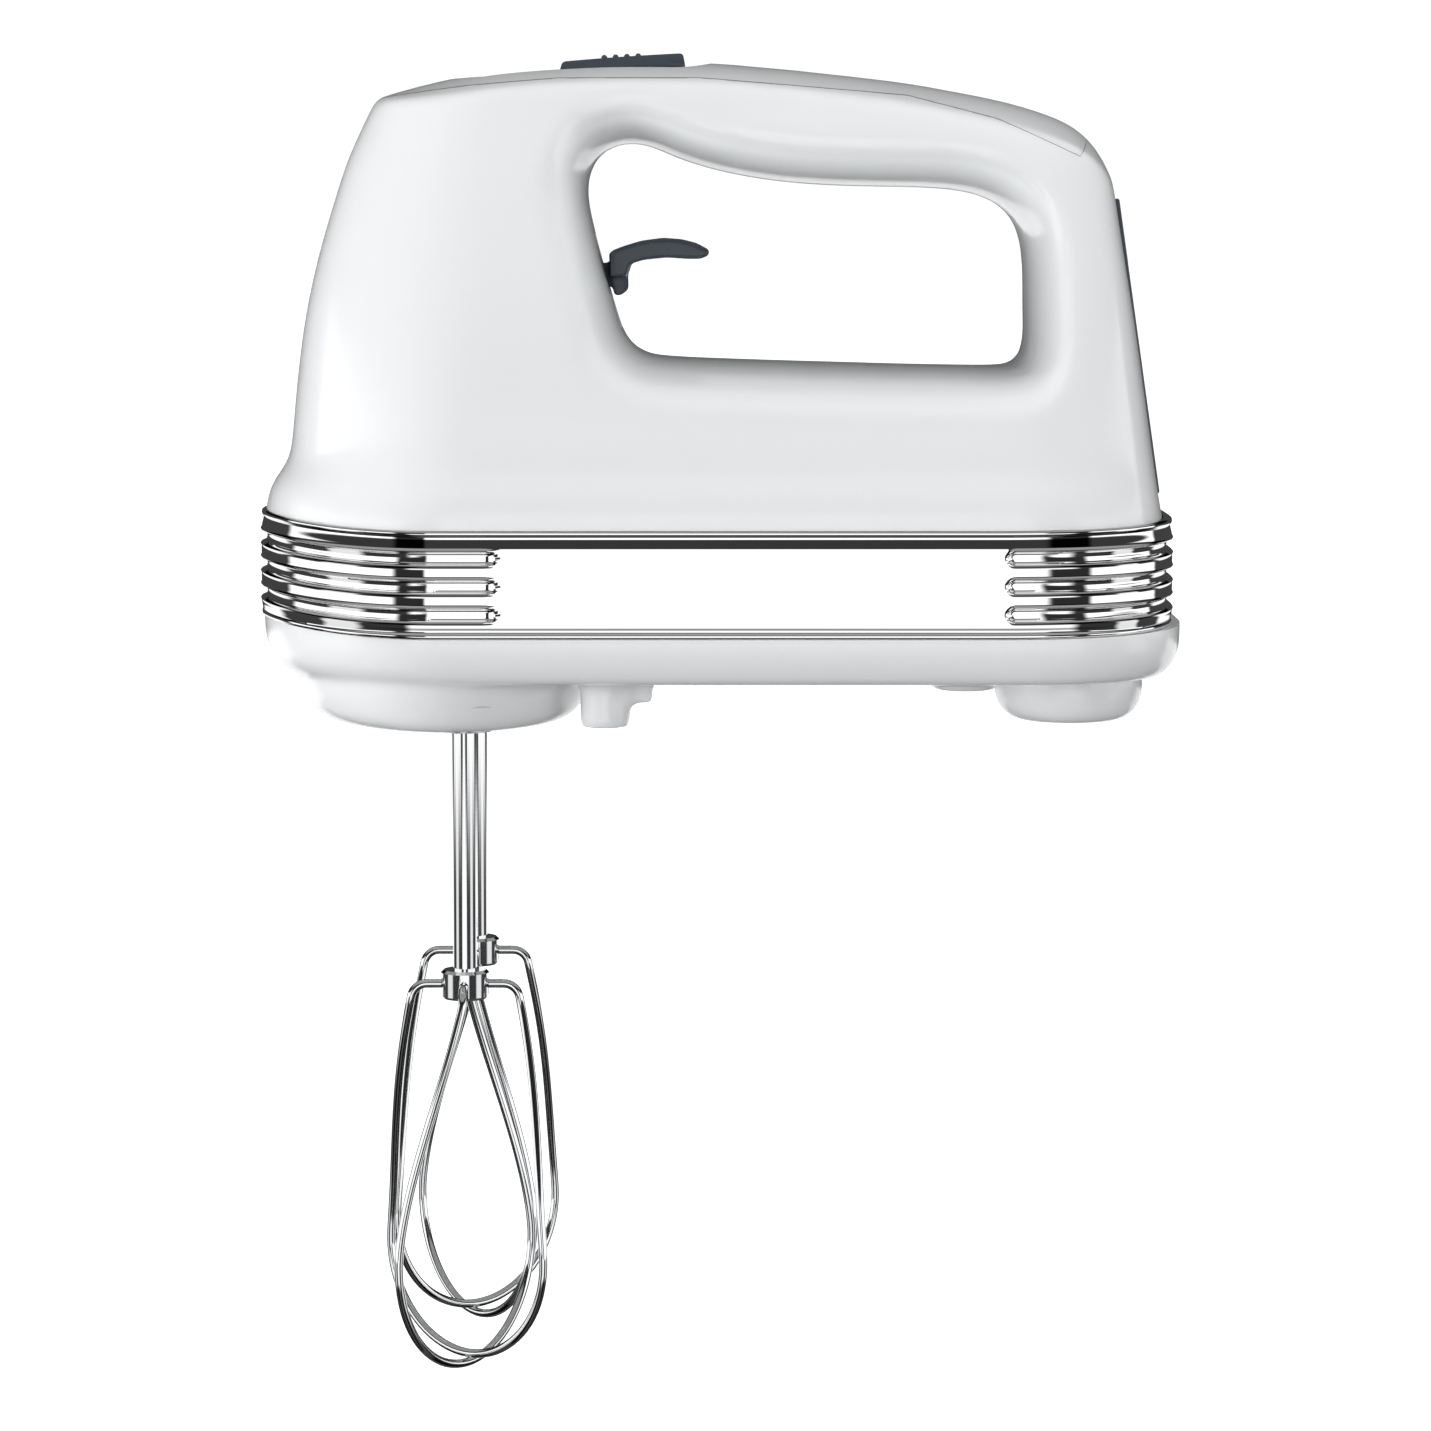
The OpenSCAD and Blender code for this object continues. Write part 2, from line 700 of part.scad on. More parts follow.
// One side of a wire loop as [distance from the axis, height]: out of the hub, down and round.
function loop_side(low) = let (
    bend = [for (i = [1:4]) let (a = 90 + (bend_end - 90) * i / 4)
        [bend_mid, hub_z - bend_r] + bend_r * [cos(a), sin(a)]])
    concat([[3.3, hub_z], [5.8, hub_z], [bend_mid, hub_z]], bend,
        [for (i = [1:8]) bezier(bend[3], [13.9, -69], [cage_r, cage_wide + 8.5], [cage_r, cage_wide], i / 8)],
        [for (i = [1:9]) [cage_r * cos(10 * i), cage_wide + (low - cage_wide) * sin(10 * i)]]);

// Turn round the beater's axis at a given height, as a share of the whole twist.
function wind(z) = sin(90 * max(0, min(1, (hub_z - bend_r - z) / (hub_z - bend_r - cage_wide))));

module wire_loop(side, turn, low) {
    half = loop_side(low);
    count = len(half);
    path = concat(half, [for (i = [count - 2:-1:0]) [-half[i][0], half[i][1]]]);
    last = len(path) - 1;
    sides = 8;
    points = [for (i = [0:last], k = [0:sides - 1])
        let (ahead = path[min(i + 1, last)], behind = path[max(i - 1, 0)],
            way = (ahead - behind) / norm(ahead - behind), b = 360 * k / sides,
            w = side * loop_twist * wind(path[i][1]),
            r = path[i][0] - way[1] * wire_r * cos(b), y = wire_r * sin(b))
            [r * cos(w) - y * sin(w), r * sin(w) + y * cos(w), path[i][1] + way[0] * wire_r * cos(b)]];
    color(chrome) translate([0, side * chuck_y, 0]) rotate(turn) tube(points, last, sides);
}

upper_housing();
handle_cover();
trim_band();
bottom_cover();
heel_strip();
housing_screws();
gearbox_base();
gearbox_cover();
gearbox_screws();
spindle_bush(-1);  // spindle_bush_left
spindle_bush(1);  // spindle_bush_right
bearing(-26, 6, 6);  // front_bearing
bearing(bracket_x - 2, 7, 6);  // rear_bearing
bearing_bracket();
motor_screws();
motor_stator();
field_coil(1);  // field_coil_top
field_coil(-1);  // field_coil_bottom
brush_holder(-1);  // brush_holder_left
brush_holder(1);  // brush_holder_right
carbon_brush(-1);  // carbon_brush_left
carbon_brush(1);  // carbon_brush_right
brush_spring(-1);  // brush_spring_left
brush_spring(1);  // brush_spring_right
motor_shaft();
armature_core();
armature_windings();
commutator();
worm();
cooling_fan();
worm_wheel(-1);  // worm_wheel_left
worm_wheel(1);  // worm_wheel_right
chuck(-1);  // chuck_left
chuck(1);  // chuck_right
wheel_clip(-1);  // wheel_clip_left
wheel_clip(1);  // wheel_clip_right
ejector_plate();
ejector_spring();
eject_lever();
speed_knob();
speed_switch();
circuit_board();
suppressor_capacitor();
heat_sink();
terminal_block();
swivel_ring();
cord_swivel();
swivel_clip();
cord_grommet();
beater_shaft(-1);  // beater_shaft_left
beater_shaft(1);  // beater_shaft_right
beater_hub(-1);  // beater_hub_left
beater_hub(1);  // beater_hub_right
wire_loop(-1, 0, cage_low + 2.1);  // wire_loop_a_left
wire_loop(1, 0, cage_low + 2.1);  // wire_loop_a_right
wire_loop(-1, 90, cage_low);  // wire_loop_b_left
wire_loop(1, 90, cage_low);  // wire_loop_b_right
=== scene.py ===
import json
import math

import bmesh
import bpy
from mathutils import Matrix, Vector


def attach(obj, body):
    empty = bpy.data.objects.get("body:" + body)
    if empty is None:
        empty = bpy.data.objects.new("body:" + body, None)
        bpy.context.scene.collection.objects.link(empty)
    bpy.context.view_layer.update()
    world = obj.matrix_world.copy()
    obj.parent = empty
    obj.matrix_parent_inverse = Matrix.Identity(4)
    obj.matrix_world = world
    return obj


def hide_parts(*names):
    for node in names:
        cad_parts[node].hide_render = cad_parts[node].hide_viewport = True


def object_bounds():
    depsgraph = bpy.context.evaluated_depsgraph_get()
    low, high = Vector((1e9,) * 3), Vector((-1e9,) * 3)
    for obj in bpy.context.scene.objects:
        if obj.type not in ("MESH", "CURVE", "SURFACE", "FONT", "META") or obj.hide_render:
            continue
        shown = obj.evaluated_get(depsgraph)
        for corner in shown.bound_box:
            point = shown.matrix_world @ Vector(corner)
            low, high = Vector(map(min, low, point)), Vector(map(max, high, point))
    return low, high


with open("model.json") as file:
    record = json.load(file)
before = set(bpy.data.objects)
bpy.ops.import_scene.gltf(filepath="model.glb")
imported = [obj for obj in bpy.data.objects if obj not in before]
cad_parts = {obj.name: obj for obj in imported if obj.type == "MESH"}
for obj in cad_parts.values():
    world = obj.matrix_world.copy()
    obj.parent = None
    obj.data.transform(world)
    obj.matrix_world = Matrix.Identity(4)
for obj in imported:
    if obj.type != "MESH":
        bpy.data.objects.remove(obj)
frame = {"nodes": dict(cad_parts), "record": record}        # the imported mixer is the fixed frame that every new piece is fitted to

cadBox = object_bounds()
nodes = frame["nodes"]
left, right = -1, 1      # left is the side that faces the camera
chuckY = 23              # from the middle to each beater's axis
print("frame loaded:", len(nodes), "nodes")


# camera, floor and studio

camera = {"place": (53.4, -1000, 107), "aim": (53.4, 0, 35.1), "lens": 116.3, "shift": -0.11}
studio = {"aim": (53, 0, 60), "floorLow": 3.2, "floorGlow": 1.1, "floorRadius": 30, "world": 1.35,
          "backdrop": 1.05,
          "key": ((-1100, -1200, 260), (1400, 1000), 6.5), "fill": ((900, -1300, 160), (900, 900), 6.5),
          "left": ((-1350, -300, 0), (900, 240), 13), "top": ((420, -250, 850), (700, 500), 4.2)}


def makeCamera():
    data = bpy.data.cameras.new("camera")
    data.lens = camera["lens"]
    data.sensor_width = 36
    data.shift_y = camera["shift"]
    data.clip_start = 0.01
    obj = bpy.data.objects.new("camera", data)
    bpy.context.collection.objects.link(obj)
    place, aim = Vector(camera["place"]) * 0.001, Vector(camera["aim"]) * 0.001
    obj.location = place
    obj.rotation_euler = (aim - place).to_track_quat("-Z", "Y").to_euler()
    bpy.context.scene.camera = obj
    bpy.context.scene.view_settings.view_transform = "Standard"


def addNode(tree, kind, **settings):
    node = tree.nodes.new(kind)
    for name, value in settings.items():
        setattr(node, name, value)
    return node


def rampNode(tree, stops):
    # grey ramp through (position, value) stops
    node = addNode(tree, "ShaderNodeValToRGB")
    ramp = node.color_ramp
    ramp.interpolation = "EASE"
    while len(ramp.elements) > 1:
        ramp.elements.remove(ramp.elements[-1])
    ramp.elements[0].position = stops[0][0]
    ramp.elements[0].color = (*[stops[0][1]] * 3, 1)
    for place, value in stops[1:]:
        ramp.elements.new(place).color = (*[value] * 3, 1)
    return node


# stops along the share of a half turn away from the camera's side, or up the sky from straight down
cards = {"level": [(0, 1), (0.045, 1), (0.06, 0.02), (0.155, 0.02), (0.185, 1), (0.62, 0.95), (0.66, 0.04),
                   (1, 0.04)],
         "below": [(0, 1), (0.1, 1), (0.14, 0.03), (0.3, 0.03), (0.35, 0.75), (0.46, 0.75), (0.5, 0.04),
                   (0.68, 0.04), (0.74, 0.9), (1, 0.9)],
         "height": [(0.27, 0.06), (0.31, 0.85), (0.5, 1), (0.59, 1), (0.62, 0.03), (0.72, 0.03),
                    (0.78, 0.18)],
         "lower": [(0.43, 1), (0.445, 0)],
         "overhead": [(0.72, 0), (0.8, 0.26), (1, 0.22)]}


def makeWorld():
    # white cards in front and at both sides with dark gaps between them, dim above
    world = bpy.data.worlds.new("studio")
    bpy.context.scene.world = world
    world.use_nodes = True
    tree = world.node_tree
    tree.nodes.clear()
    link = tree.links.new
    coord = addNode(tree, "ShaderNodeTexCoord")
    split = addNode(tree, "ShaderNodeSeparateXYZ")
    link(coord.outputs["Generated"], split.inputs[0])
    depth = addNode(tree, "ShaderNodeMath", operation="MULTIPLY")
    depth.inputs[1].default_value = -1
    link(split.outputs["Y"], depth.inputs[0])
    turn = addNode(tree, "ShaderNodeMath", operation="ARCTAN2")
    link(split.outputs["X"], turn.inputs[0])
    link(depth.outputs[0], turn.inputs[1])
    size = addNode(tree, "ShaderNodeMath", operation="ABSOLUTE")
    link(turn.outputs[0], size.inputs[0])
    share = addNode(tree, "ShaderNodeMath", operation="DIVIDE")
    share.inputs[1].default_value = math.pi
    link(size.outputs[0], share.inputs[0])
    around = rampNode(tree, cards["level"])
    link(share.outputs[0], around.inputs[0])
    below = rampNode(tree, cards["below"])
    link(share.outputs[0], below.inputs[0])
    rise = addNode(tree, "ShaderNodeMapRange")
    rise.inputs["From Min"].default_value = -1
    link(split.outputs["Z"], rise.inputs["Value"])
    side = rampNode(tree, cards["height"])
    link(rise.outputs["Result"], side.inputs[0])
    lower = rampNode(tree, cards["lower"])
    link(rise.outputs["Result"], lower.inputs[0])
    ring = addNode(tree, "ShaderNodeMix", data_type="RGBA")
    link(lower.outputs[0], ring.inputs["Factor"])
    link(around.outputs[0], ring.inputs["A"])
    link(below.outputs[0], ring.inputs["B"])
    above = rampNode(tree, cards["overhead"])
    link(rise.outputs["Result"], above.inputs[0])
    panels = addNode(tree, "ShaderNodeMix", data_type="RGBA", blend_type="MULTIPLY")
    panels.inputs["Factor"].default_value = 1
    link(ring.outputs["Result"], panels.inputs["A"])
    link(side.outputs[0], panels.inputs["B"])
    mix = addNode(tree, "ShaderNodeMix", data_type="RGBA", blend_type="LIGHTEN")
    mix.inputs["Factor"].default_value = 1
    link(panels.outputs["Result"], mix.inputs["A"])
    link(above.outputs[0], mix.inputs["B"])
    lit = addNode(tree, "ShaderNodeBackground")
    lit.inputs["Strength"].default_value = studio["world"]
    link(mix.outputs["Result"], lit.inputs["Color"])
    plain = addNode(tree, "ShaderNodeBackground")
    plain.inputs["Color"].default_value = (1, 1, 1, 1)
    plain.inputs["Strength"].default_value = studio["backdrop"]
    path = addNode(tree, "ShaderNodeLightPath")
    shader = addNode(tree, "ShaderNodeMixShader")
    link(path.outputs["Is Camera Ray"], shader.inputs["Fac"])
    link(lit.outputs[0], shader.inputs[1])
    link(plain.outputs[0], shader.inputs[2])
    output = addNode(tree, "ShaderNodeOutputWorld")
    link(shader.outputs[0], output.inputs["Surface"])


def areaLight(name, place, aim, size, power):
    data = bpy.data.lights.new(name, "AREA")
    data.shape = "RECTANGLE"
    data.size, data.size_y = size[0] * 0.001, size[1] * 0.001
    data.energy = power
    obj = bpy.data.objects.new(name, data)
    bpy.context.collection.objects.link(obj)
    place, aim = Vector(place) * 0.001, Vector(aim) * 0.001
    obj.location = place
    obj.rotation_euler = (aim - place).to_track_quat("-Z", "Y").to_euler()
    obj.visible_camera = False
    obj.visible_glossy = False


def makeFloor():
    bm = bmesh.new()
    bmesh.ops.create_circle(bm, cap_ends=True, segments=64, radius=studio["floorRadius"])
    bmesh.ops.translate(bm, verts=bm.verts, vec=(0, 0, cadBox[0][2] - studio["floorLow"] * 0.001))
    mesh = bpy.data.meshes.new("floor")
    bm.to_mesh(mesh)
    bm.free()
    floor = bpy.data.objects.new("floor", mesh)
    bpy.context.collection.objects.link(floor)
    mat = bpy.data.materials.new("paleFloor")
    mat.use_nodes = True
    surface = mat.node_tree.nodes["Principled BSDF"]
    surface.inputs["Base Color"].default_value = (0.7, 0.7, 0.7, 1)
    surface.inputs["Roughness"].default_value = 0.9
    surface.inputs["Specular IOR Level"].default_value = 0.1
    surface.inputs["Emission Color"].default_value = (1, 1, 1, 1)
    path = addNode(mat.node_tree, "ShaderNodeLightPath")      # the glow only pales the floor for the eye
    glow = addNode(mat.node_tree, "ShaderNodeMath", operation="MULTIPLY")
    glow.inputs[1].default_value = studio["floorGlow"]
    mat.node_tree.links.new(path.outputs["Is Camera Ray"], glow.inputs[0])
    mat.node_tree.links.new(glow.outputs[0], surface.inputs["Emission Strength"])
    mesh.materials.append(mat)
    floor.visible_glossy = False


makeCamera()
makeWorld()
makeFloor()
for name in ("key", "fill", "left", "top"):
    spot, size, power = studio[name]
    areaLight(name + "Light", spot, studio["aim"], size, power)
print("camera and studio ready")


# shader node groups and materials

def makeGroup(name, inputs, outputs):
    group = bpy.data.node_groups.new(name, "ShaderNodeTree")
    for label, kind, value in inputs:
        socket = group.interface.new_socket(label, in_out="INPUT", socket_type=kind)
        socket.default_value = value
    for label, kind in outputs:
        group.interface.new_socket(label, in_out="OUTPUT", socket_type=kind)
    return group, addNode(group, "NodeGroupInput"), addNode(group, "NodeGroupOutput")


def toneGroup():
    # slow drift in colour and gloss over a surface
    group, source, target = makeGroup("toneDrift", [
        ("Color", "NodeSocketColor", (0.8, 0.8, 0.8, 1)), ("Amount", "NodeSocketFloat", 0.04),
        ("Scale", "NodeSocketFloat", 40), ("Roughness", "NodeSocketFloat", 0.3),
        ("Spread", "NodeSocketFloat", 0.04)],
        [("Color", "NodeSocketColor"), ("Roughness", "NodeSocketFloat")])
    link = group.links.new
    coord = addNode(group, "ShaderNodeTexCoord")
    noise = addNode(group, "ShaderNodeTexNoise")
    noise.inputs["Detail"].default_value = 4
    link(coord.outputs["Object"], noise.inputs["Vector"])
    link(source.outputs["Scale"], noise.inputs["Scale"])
    centre = addNode(group, "ShaderNodeMath", operation="SUBTRACT")
    centre.inputs[1].default_value = 0.5
    link(noise.outputs["Fac"], centre.inputs[0])
    shade = addNode(group, "ShaderNodeMath", operation="MULTIPLY_ADD")
    shade.inputs[2].default_value = 1
    link(centre.outputs[0], shade.inputs[0])
    link(source.outputs["Amount"], shade.inputs[1])
    tint = addNode(group, "ShaderNodeVectorMath", operation="SCALE")
    link(source.outputs["Color"], tint.inputs[0])
    link(shade.outputs[0], tint.inputs["Scale"])
    link(tint.outputs[0], target.inputs["Color"])
    gloss = addNode(group, "ShaderNodeMath", operation="MULTIPLY_ADD")
    link(centre.outputs[0], gloss.inputs[0])
    link(source.outputs["Spread"], gloss.inputs[1])
    link(source.outputs["Roughness"], gloss.inputs[2])
    link(gloss.outputs[0], target.inputs["Roughness"])
    return group


def grainGroup():
    # fine surface texture as a normal
    group, source, target = makeGroup("fineGrain", [
        ("Scale", "NodeSocketFloat", 800), ("Strength", "NodeSocketFloat", 0.1),
        ("Depth", "NodeSocketFloat", 0.00005), ("Stretch", "NodeSocketVector", (1, 1, 1))],
        [("Normal", "NodeSocketVector")])
    link = group.links.new
    coord = addNode(group, "ShaderNodeTexCoord")
    stretch = addNode(group, "ShaderNodeVectorMath", operation="MULTIPLY")
    link(coord.outputs["Object"], stretch.inputs[0])
    link(source.outputs["Stretch"], stretch.inputs[1])
    noise = addNode(group, "ShaderNodeTexNoise")
    noise.inputs["Detail"].default_value = 3
    link(stretch.outputs[0], noise.inputs["Vector"])
    link(source.outputs["Scale"], noise.inputs["Scale"])
    bump = addNode(group, "ShaderNodeBump")
    link(source.outputs["Strength"], bump.inputs["Strength"])
    link(source.outputs["Depth"], bump.inputs["Distance"])
    link(noise.outputs["Fac"], bump.inputs["Height"])
    link(bump.outputs["Normal"], target.inputs["Normal"])
    return group


toneDrift, fineGrain = toneGroup(), grainGroup()


def finish(name, color, roughness, metallic=0, coat=0, amount=0.04, scale=40, spread=0.04,
           grain=900, strength=0.08, depth=0.00004, stretch=(1, 1, 1), coatRoughness=0.05,
           subsurface=0):
    # one plastic or metal, with drifting tone and fine grain
    mat = bpy.data.materials.new(name)
    mat.use_nodes = True
    tree = mat.node_tree
    link = tree.links.new
    surface = tree.nodes["Principled BSDF"]
    surface.inputs["Metallic"].default_value = metallic
    surface.inputs["Coat Weight"].default_value = coat
    surface.inputs["Coat Roughness"].default_value = coatRoughness
    surface.inputs["Subsurface Weight"].default_value = subsurface
    surface.inputs["Subsurface Scale"].default_value = 0.004
    surface.inputs["Subsurface Radius"].default_value = (1, 1, 1)
    tone = addNode(tree, "ShaderNodeGroup", node_tree=toneDrift)
    tone.inputs["Color"].default_value = (*color, 1)
    tone.inputs["Amount"].default_value = amount
    tone.inputs["Scale"].default_value = scale
    tone.inputs["Roughness"].default_value = roughness
    tone.inputs["Spread"].default_value = spread
    link(tone.outputs["Color"], surface.inputs["Base Color"])
    link(tone.outputs["Roughness"], surface.inputs["Roughness"])
    texture = addNode(tree, "ShaderNodeGroup", node_tree=fineGrain)
    texture.inputs["Scale"].default_value = grain
    texture.inputs["Strength"].default_value = strength
    texture.inputs["Depth"].default_value = depth
    texture.inputs["Stretch"].default_value = stretch
    link(texture.outputs["Normal"], surface.inputs["Normal"])
    return mat


whiteGloss = finish("whiteGloss", (0.80, 0.815, 0.825), 0.2, coat=0.5, amount=0.012, scale=18,
                    spread=0.03, grain=600, strength=0.02, depth=0.00002, subsurface=0.2)
mirrorTrim = finish("mirrorTrim", (0.90, 0.90, 0.905), 0.025, metallic=1, amount=0.01, scale=30,
                    spread=0.01, grain=300, strength=0.01, depth=0.00001)
wireChrome = finish("wireChrome", (0.80, 0.81, 0.82), 0.06, metallic=1, amount=0.03, scale=60,
                    spread=0.04, grain=900, strength=0.03, depth=0.00002, stretch=(1, 1, 0.1))
slatePlastic = finish("slatePlastic", (0.038, 0.048, 0.060), 0.34, coat=0.12, amount=0.12, scale=90,
                      spread=0.1, grain=2600, strength=0.22, depth=0.00005, coatRoughness=0.2)
zincSteel = finish("zincSteel", (0.55, 0.56, 0.58), 0.32, metallic=1, amount=0.1, grain=1500, strength=0.15)
turnedSteel = finish("turnedSteel", (0.50, 0.51, 0.53), 0.26, metallic=1, amount=0.08,
                     grain=700, strength=0.2, stretch=(1, 1, 12))
springWire = finish("springWire", (0.45, 0.46, 0.48), 0.3, metallic=1, amount=0.1)
castNylon = finish("castNylon", (0.52, 0.54, 0.55), 0.5, amount=0.06, grain=1400, strength=0.25)
naturalNylon = finish("naturalNylon", (0.74, 0.69, 0.55), 0.42, amount=0.05, scale=60, subsurface=0.1)
sinteredBronze = finish("sinteredBronze", (0.55, 0.35, 0.14), 0.45, metallic=1, amount=0.25, scale=300,
                        grain=2200, strength=0.4)
laminatedSteel = finish("laminatedSteel", (0.30, 0.31, 0.33), 0.42, metallic=0.9, amount=0.15,
                        grain=1600, strength=0.6, depth=0.0001, stretch=(1, 0.02, 0.02))
coilCopper = finish("coilCopper", (0.50, 0.19, 0.08), 0.3, metallic=1, coat=0.4, amount=0.2, scale=200,
                    grain=1800, strength=0.5, depth=0.0001, stretch=(0.05, 1, 1))
blackCarbon = finish("blackCarbon", (0.02, 0.02, 0.022), 0.5, amount=0.3, scale=400, grain=2400)
brownPhenolic = finish("brownPhenolic", (0.05, 0.035, 0.028), 0.4, amount=0.2, scale=150)
boardGreen = finish("boardGreen", (0.02, 0.12, 0.05), 0.3, coat=0.3, amount=0.2, scale=250)
resinAmber = finish("resinAmber", (0.40, 0.19, 0.03), 0.25, coat=0.3, amount=0.1)
sinkAluminium = finish("sinkAluminium", (0.72, 0.73, 0.75), 0.35, metallic=1, amount=0.06,
                       grain=900, strength=0.3, stretch=(1, 1, 0.05))

slotFinish = {
    "white_moulding": whiteGloss, "polished_trim": mirrorTrim, "dark_moulding": slatePlastic,
    "beater_chrome": wireChrome, "zinc_screws": zincSteel, "cast_gearbox": castNylon,
    "bronze_bush": sinteredBronze, "stator_steel": laminatedSteel, "coil_copper": coilCopper,
    "brush_carbon": blackCarbon, "holder_plastic": brownPhenolic, "spring_steel": springWire,
    "turned_steel": turnedSteel, "nylon": naturalNylon, "board_green": boardGreen,
    "capacitor_case": resinAmber, "sink_aluminium": sinkAluminium}


def dressNodes():
    for part in frame["record"]["subparts"]:
        obj = nodes[part["node"]]
        obj.data.materials.clear()
        obj.data.materials.append(slotFinish[part["material_slot"]])


dressNodes()
print("materials ready and CAD nodes dressed")


# shared mesh tools, all in millimetres until a piece is placed

def curveThrough(rows, x):
    # smooth value at x through rising (x, y) rows
    if x <= rows[0][0]:
        return rows[0][1]
    if x >= rows[-1][0]:
        return rows[-1][1]
    i = max(k for k in range(len(rows) - 1) if rows[k][0] <= x)

    def slope(k):
        if k == 0 or k == len(rows) - 1:
            j = min(k, len(rows) - 2)
            return (rows[j + 1][1] - rows[j][1]) / (rows[j + 1][0] - rows[j][0])
        before = (rows[k][1] - rows[k - 1][1]) / (rows[k][0] - rows[k - 1][0])
        after = (rows[k + 1][1] - rows[k][1]) / (rows[k + 1][0] - rows[k][0])
        return 0 if before * after <= 0 else 2 * before * after / (before + after)

    wide = rows[i + 1][0] - rows[i][0]
    t = (x - rows[i][0]) / wide
    a, b = slope(i) * wide, slope(i + 1) * wide
    low, high = rows[i][1], rows[i + 1][1]
    return ((2 * t - 3) * t * t + 1) * low + ((t - 2) * t + 1) * t * a \
        + (3 - 2 * t) * t * t * high + (t - 1) * t * t * b


def closedCurve(points, steps):
    # points evenly along a closed Catmull-Rom curve through the given ones
    dense = []
    count = len(points)
    for i in range(count):
        a, b, c, d = (Vector(points[(i + k) % count]) for k in (-1, 0, 1, 2))
        for s in range(12):
            t = s / 12
            dense.append(0.5 * (2 * b + (c - a) * t + (2 * a - 5 * b + 4 * c - d) * t * t
                                + (3 * b - a - 3 * c + d) * t ** 3))
    return evenSpots(dense, steps)


def ringLoft(bm, segments, rings):
    # rings: functions from the share of a turn to a point; neighbours are bridged
    loops = []
    for place in rings:
        made = bmesh.ops.create_circle(bm, cap_ends=False, segments=segments, radius=1)["verts"]
        for vert in made:
            share = (math.atan2(vert.co.y, vert.co.x) / (2 * math.pi)) % 1
            vert.co = place(share)
        loops.append(list({edge for vert in made for edge in vert.link_edges}))
    for a, b in zip(loops, loops[1:]):
        bmesh.ops.bridge_loops(bm, edges=a + b)
    for loop in (loops[0], loops[-1]):
        bmesh.ops.contextual_create(bm, geom=loop)
    bmesh.ops.recalc_face_normals(bm, faces=bm.faces)


def meshObject(bm, name):
    mesh = bpy.data.meshes.new(name)
    bm.to_mesh(mesh)
    bm.free()
    obj = bpy.data.objects.new(name, mesh)
    bpy.context.collection.objects.link(obj)
    return obj


def applyModifiers(obj):
    view = bpy.context.evaluated_depsgraph_get()
    mesh = bpy.data.meshes.new_from_object(obj.evaluated_get(view))
    old = obj.data
    obj.modifiers.clear()
    obj.data = mesh
    bpy.data.meshes.remove(old)


def cut(obj, other, operation="DIFFERENCE"):
    # boolean with another object, which is used up
    mod = obj.modifiers.new("cut", "BOOLEAN")
    mod.operation = operation
    mod.solver = "MANIFOLD"
    mod.object = other
    applyModifiers(obj)
    bpy.data.objects.remove(other)


def soften(obj, voxel, rounds):
    # melt hard edges into small rounds
    mod = obj.modifiers.new("voxels", "REMESH")
    mod.mode = "VOXEL"
    mod.voxel_size = voxel
    applyModifiers(obj)
    bm = bmesh.new()
    bm.from_mesh(obj.data)
    for _ in range(rounds):
        bmesh.ops.smooth_vert(bm, verts=bm.verts, factor=0.5,
                              use_axis_x=True, use_axis_y=True, use_axis_z=True)
    bm.to_mesh(obj.data)
    bm.free()


def boxObject(name, low, high):
    bm = bmesh.new()
    bmesh.ops.create_cube(bm, size=1)
    low, high = Vector(low), Vector(high)
    bmesh.ops.scale(bm, verts=bm.verts, vec=high - low)
    bmesh.ops.translate(bm, verts=bm.verts, vec=(low + high) / 2)
    return meshObject(bm, name)


def sideSlab(name, outline, half):
    # a side outline in (x, z), made solid across the mixer
    bm = bmesh.new()
    bm.faces.new([bm.verts.new((x, -half, z)) for x, z in outline])
    grown = bmesh.ops.extrude_face_region(bm, geom=bm.faces[:])["geom"]
    moved = [item for item in grown if isinstance(item, bmesh.types.BMVert)]
    bmesh.ops.translate(bm, verts=moved, vec=(0, 2 * half, 0))
    bmesh.ops.recalc_face_normals(bm, faces=bm.faces)
    return meshObject(bm, name)


def rodObject(name, place, axis, radius, length, segments=48):
    # cylinder from place along axis
    bm = bmesh.new()
    bmesh.ops.create_cone(bm, cap_ends=True, segments=segments, radius1=radius, radius2=radius, depth=length)
    turn = Vector((0, 0, 1)).rotation_difference(Vector(axis)).to_matrix().to_4x4()
    bmesh.ops.translate(bm, verts=bm.verts, vec=(0, 0, length / 2))
    bmesh.ops.transform(bm, verts=bm.verts, matrix=Matrix.Translation(place) @ turn)
    return meshObject(bm, name)


def spunObject(name, rows, steps=64):
    # (radius, height) rows turned about the z axis
    bm = bmesh.new()
    ends = [bm.verts.new((r, 0, z)) for r, z in rows]
    line = [bm.edges.new(pair) for pair in zip(ends, ends[1:])]
    bmesh.ops.spin(bm, geom=ends + line, cent=(0, 0, 0), axis=(0, 0, 1), angle=2 * math.pi, steps=steps,
                   use_merge=True)
    bmesh.ops.remove_doubles(bm, verts=bm.verts, dist=0.001)
    bmesh.ops.recalc_face_normals(bm, faces=bm.faces)
    return meshObject(bm, name)


def evenSpots(dense, steps, weight=None):
    # even steps along a closed line of points; a weight at a point makes the steps there finer
    lengths = [0]
    for i in range(len(dense)):
        span = (dense[(i + 1) % len(dense)] - dense[i]).length
        lengths.append(lengths[-1] + (weight(dense[i]) if weight else 1) * span)
    result, k = [], 0
    for s in range(steps):
        want = lengths[-1] * s / steps
        while lengths[k + 1] < want:
            k += 1
        t = (want - lengths[k]) / (lengths[k + 1] - lengths[k])
        result.append(dense[k].lerp(dense[(k + 1) % len(dense)], t))
    return result


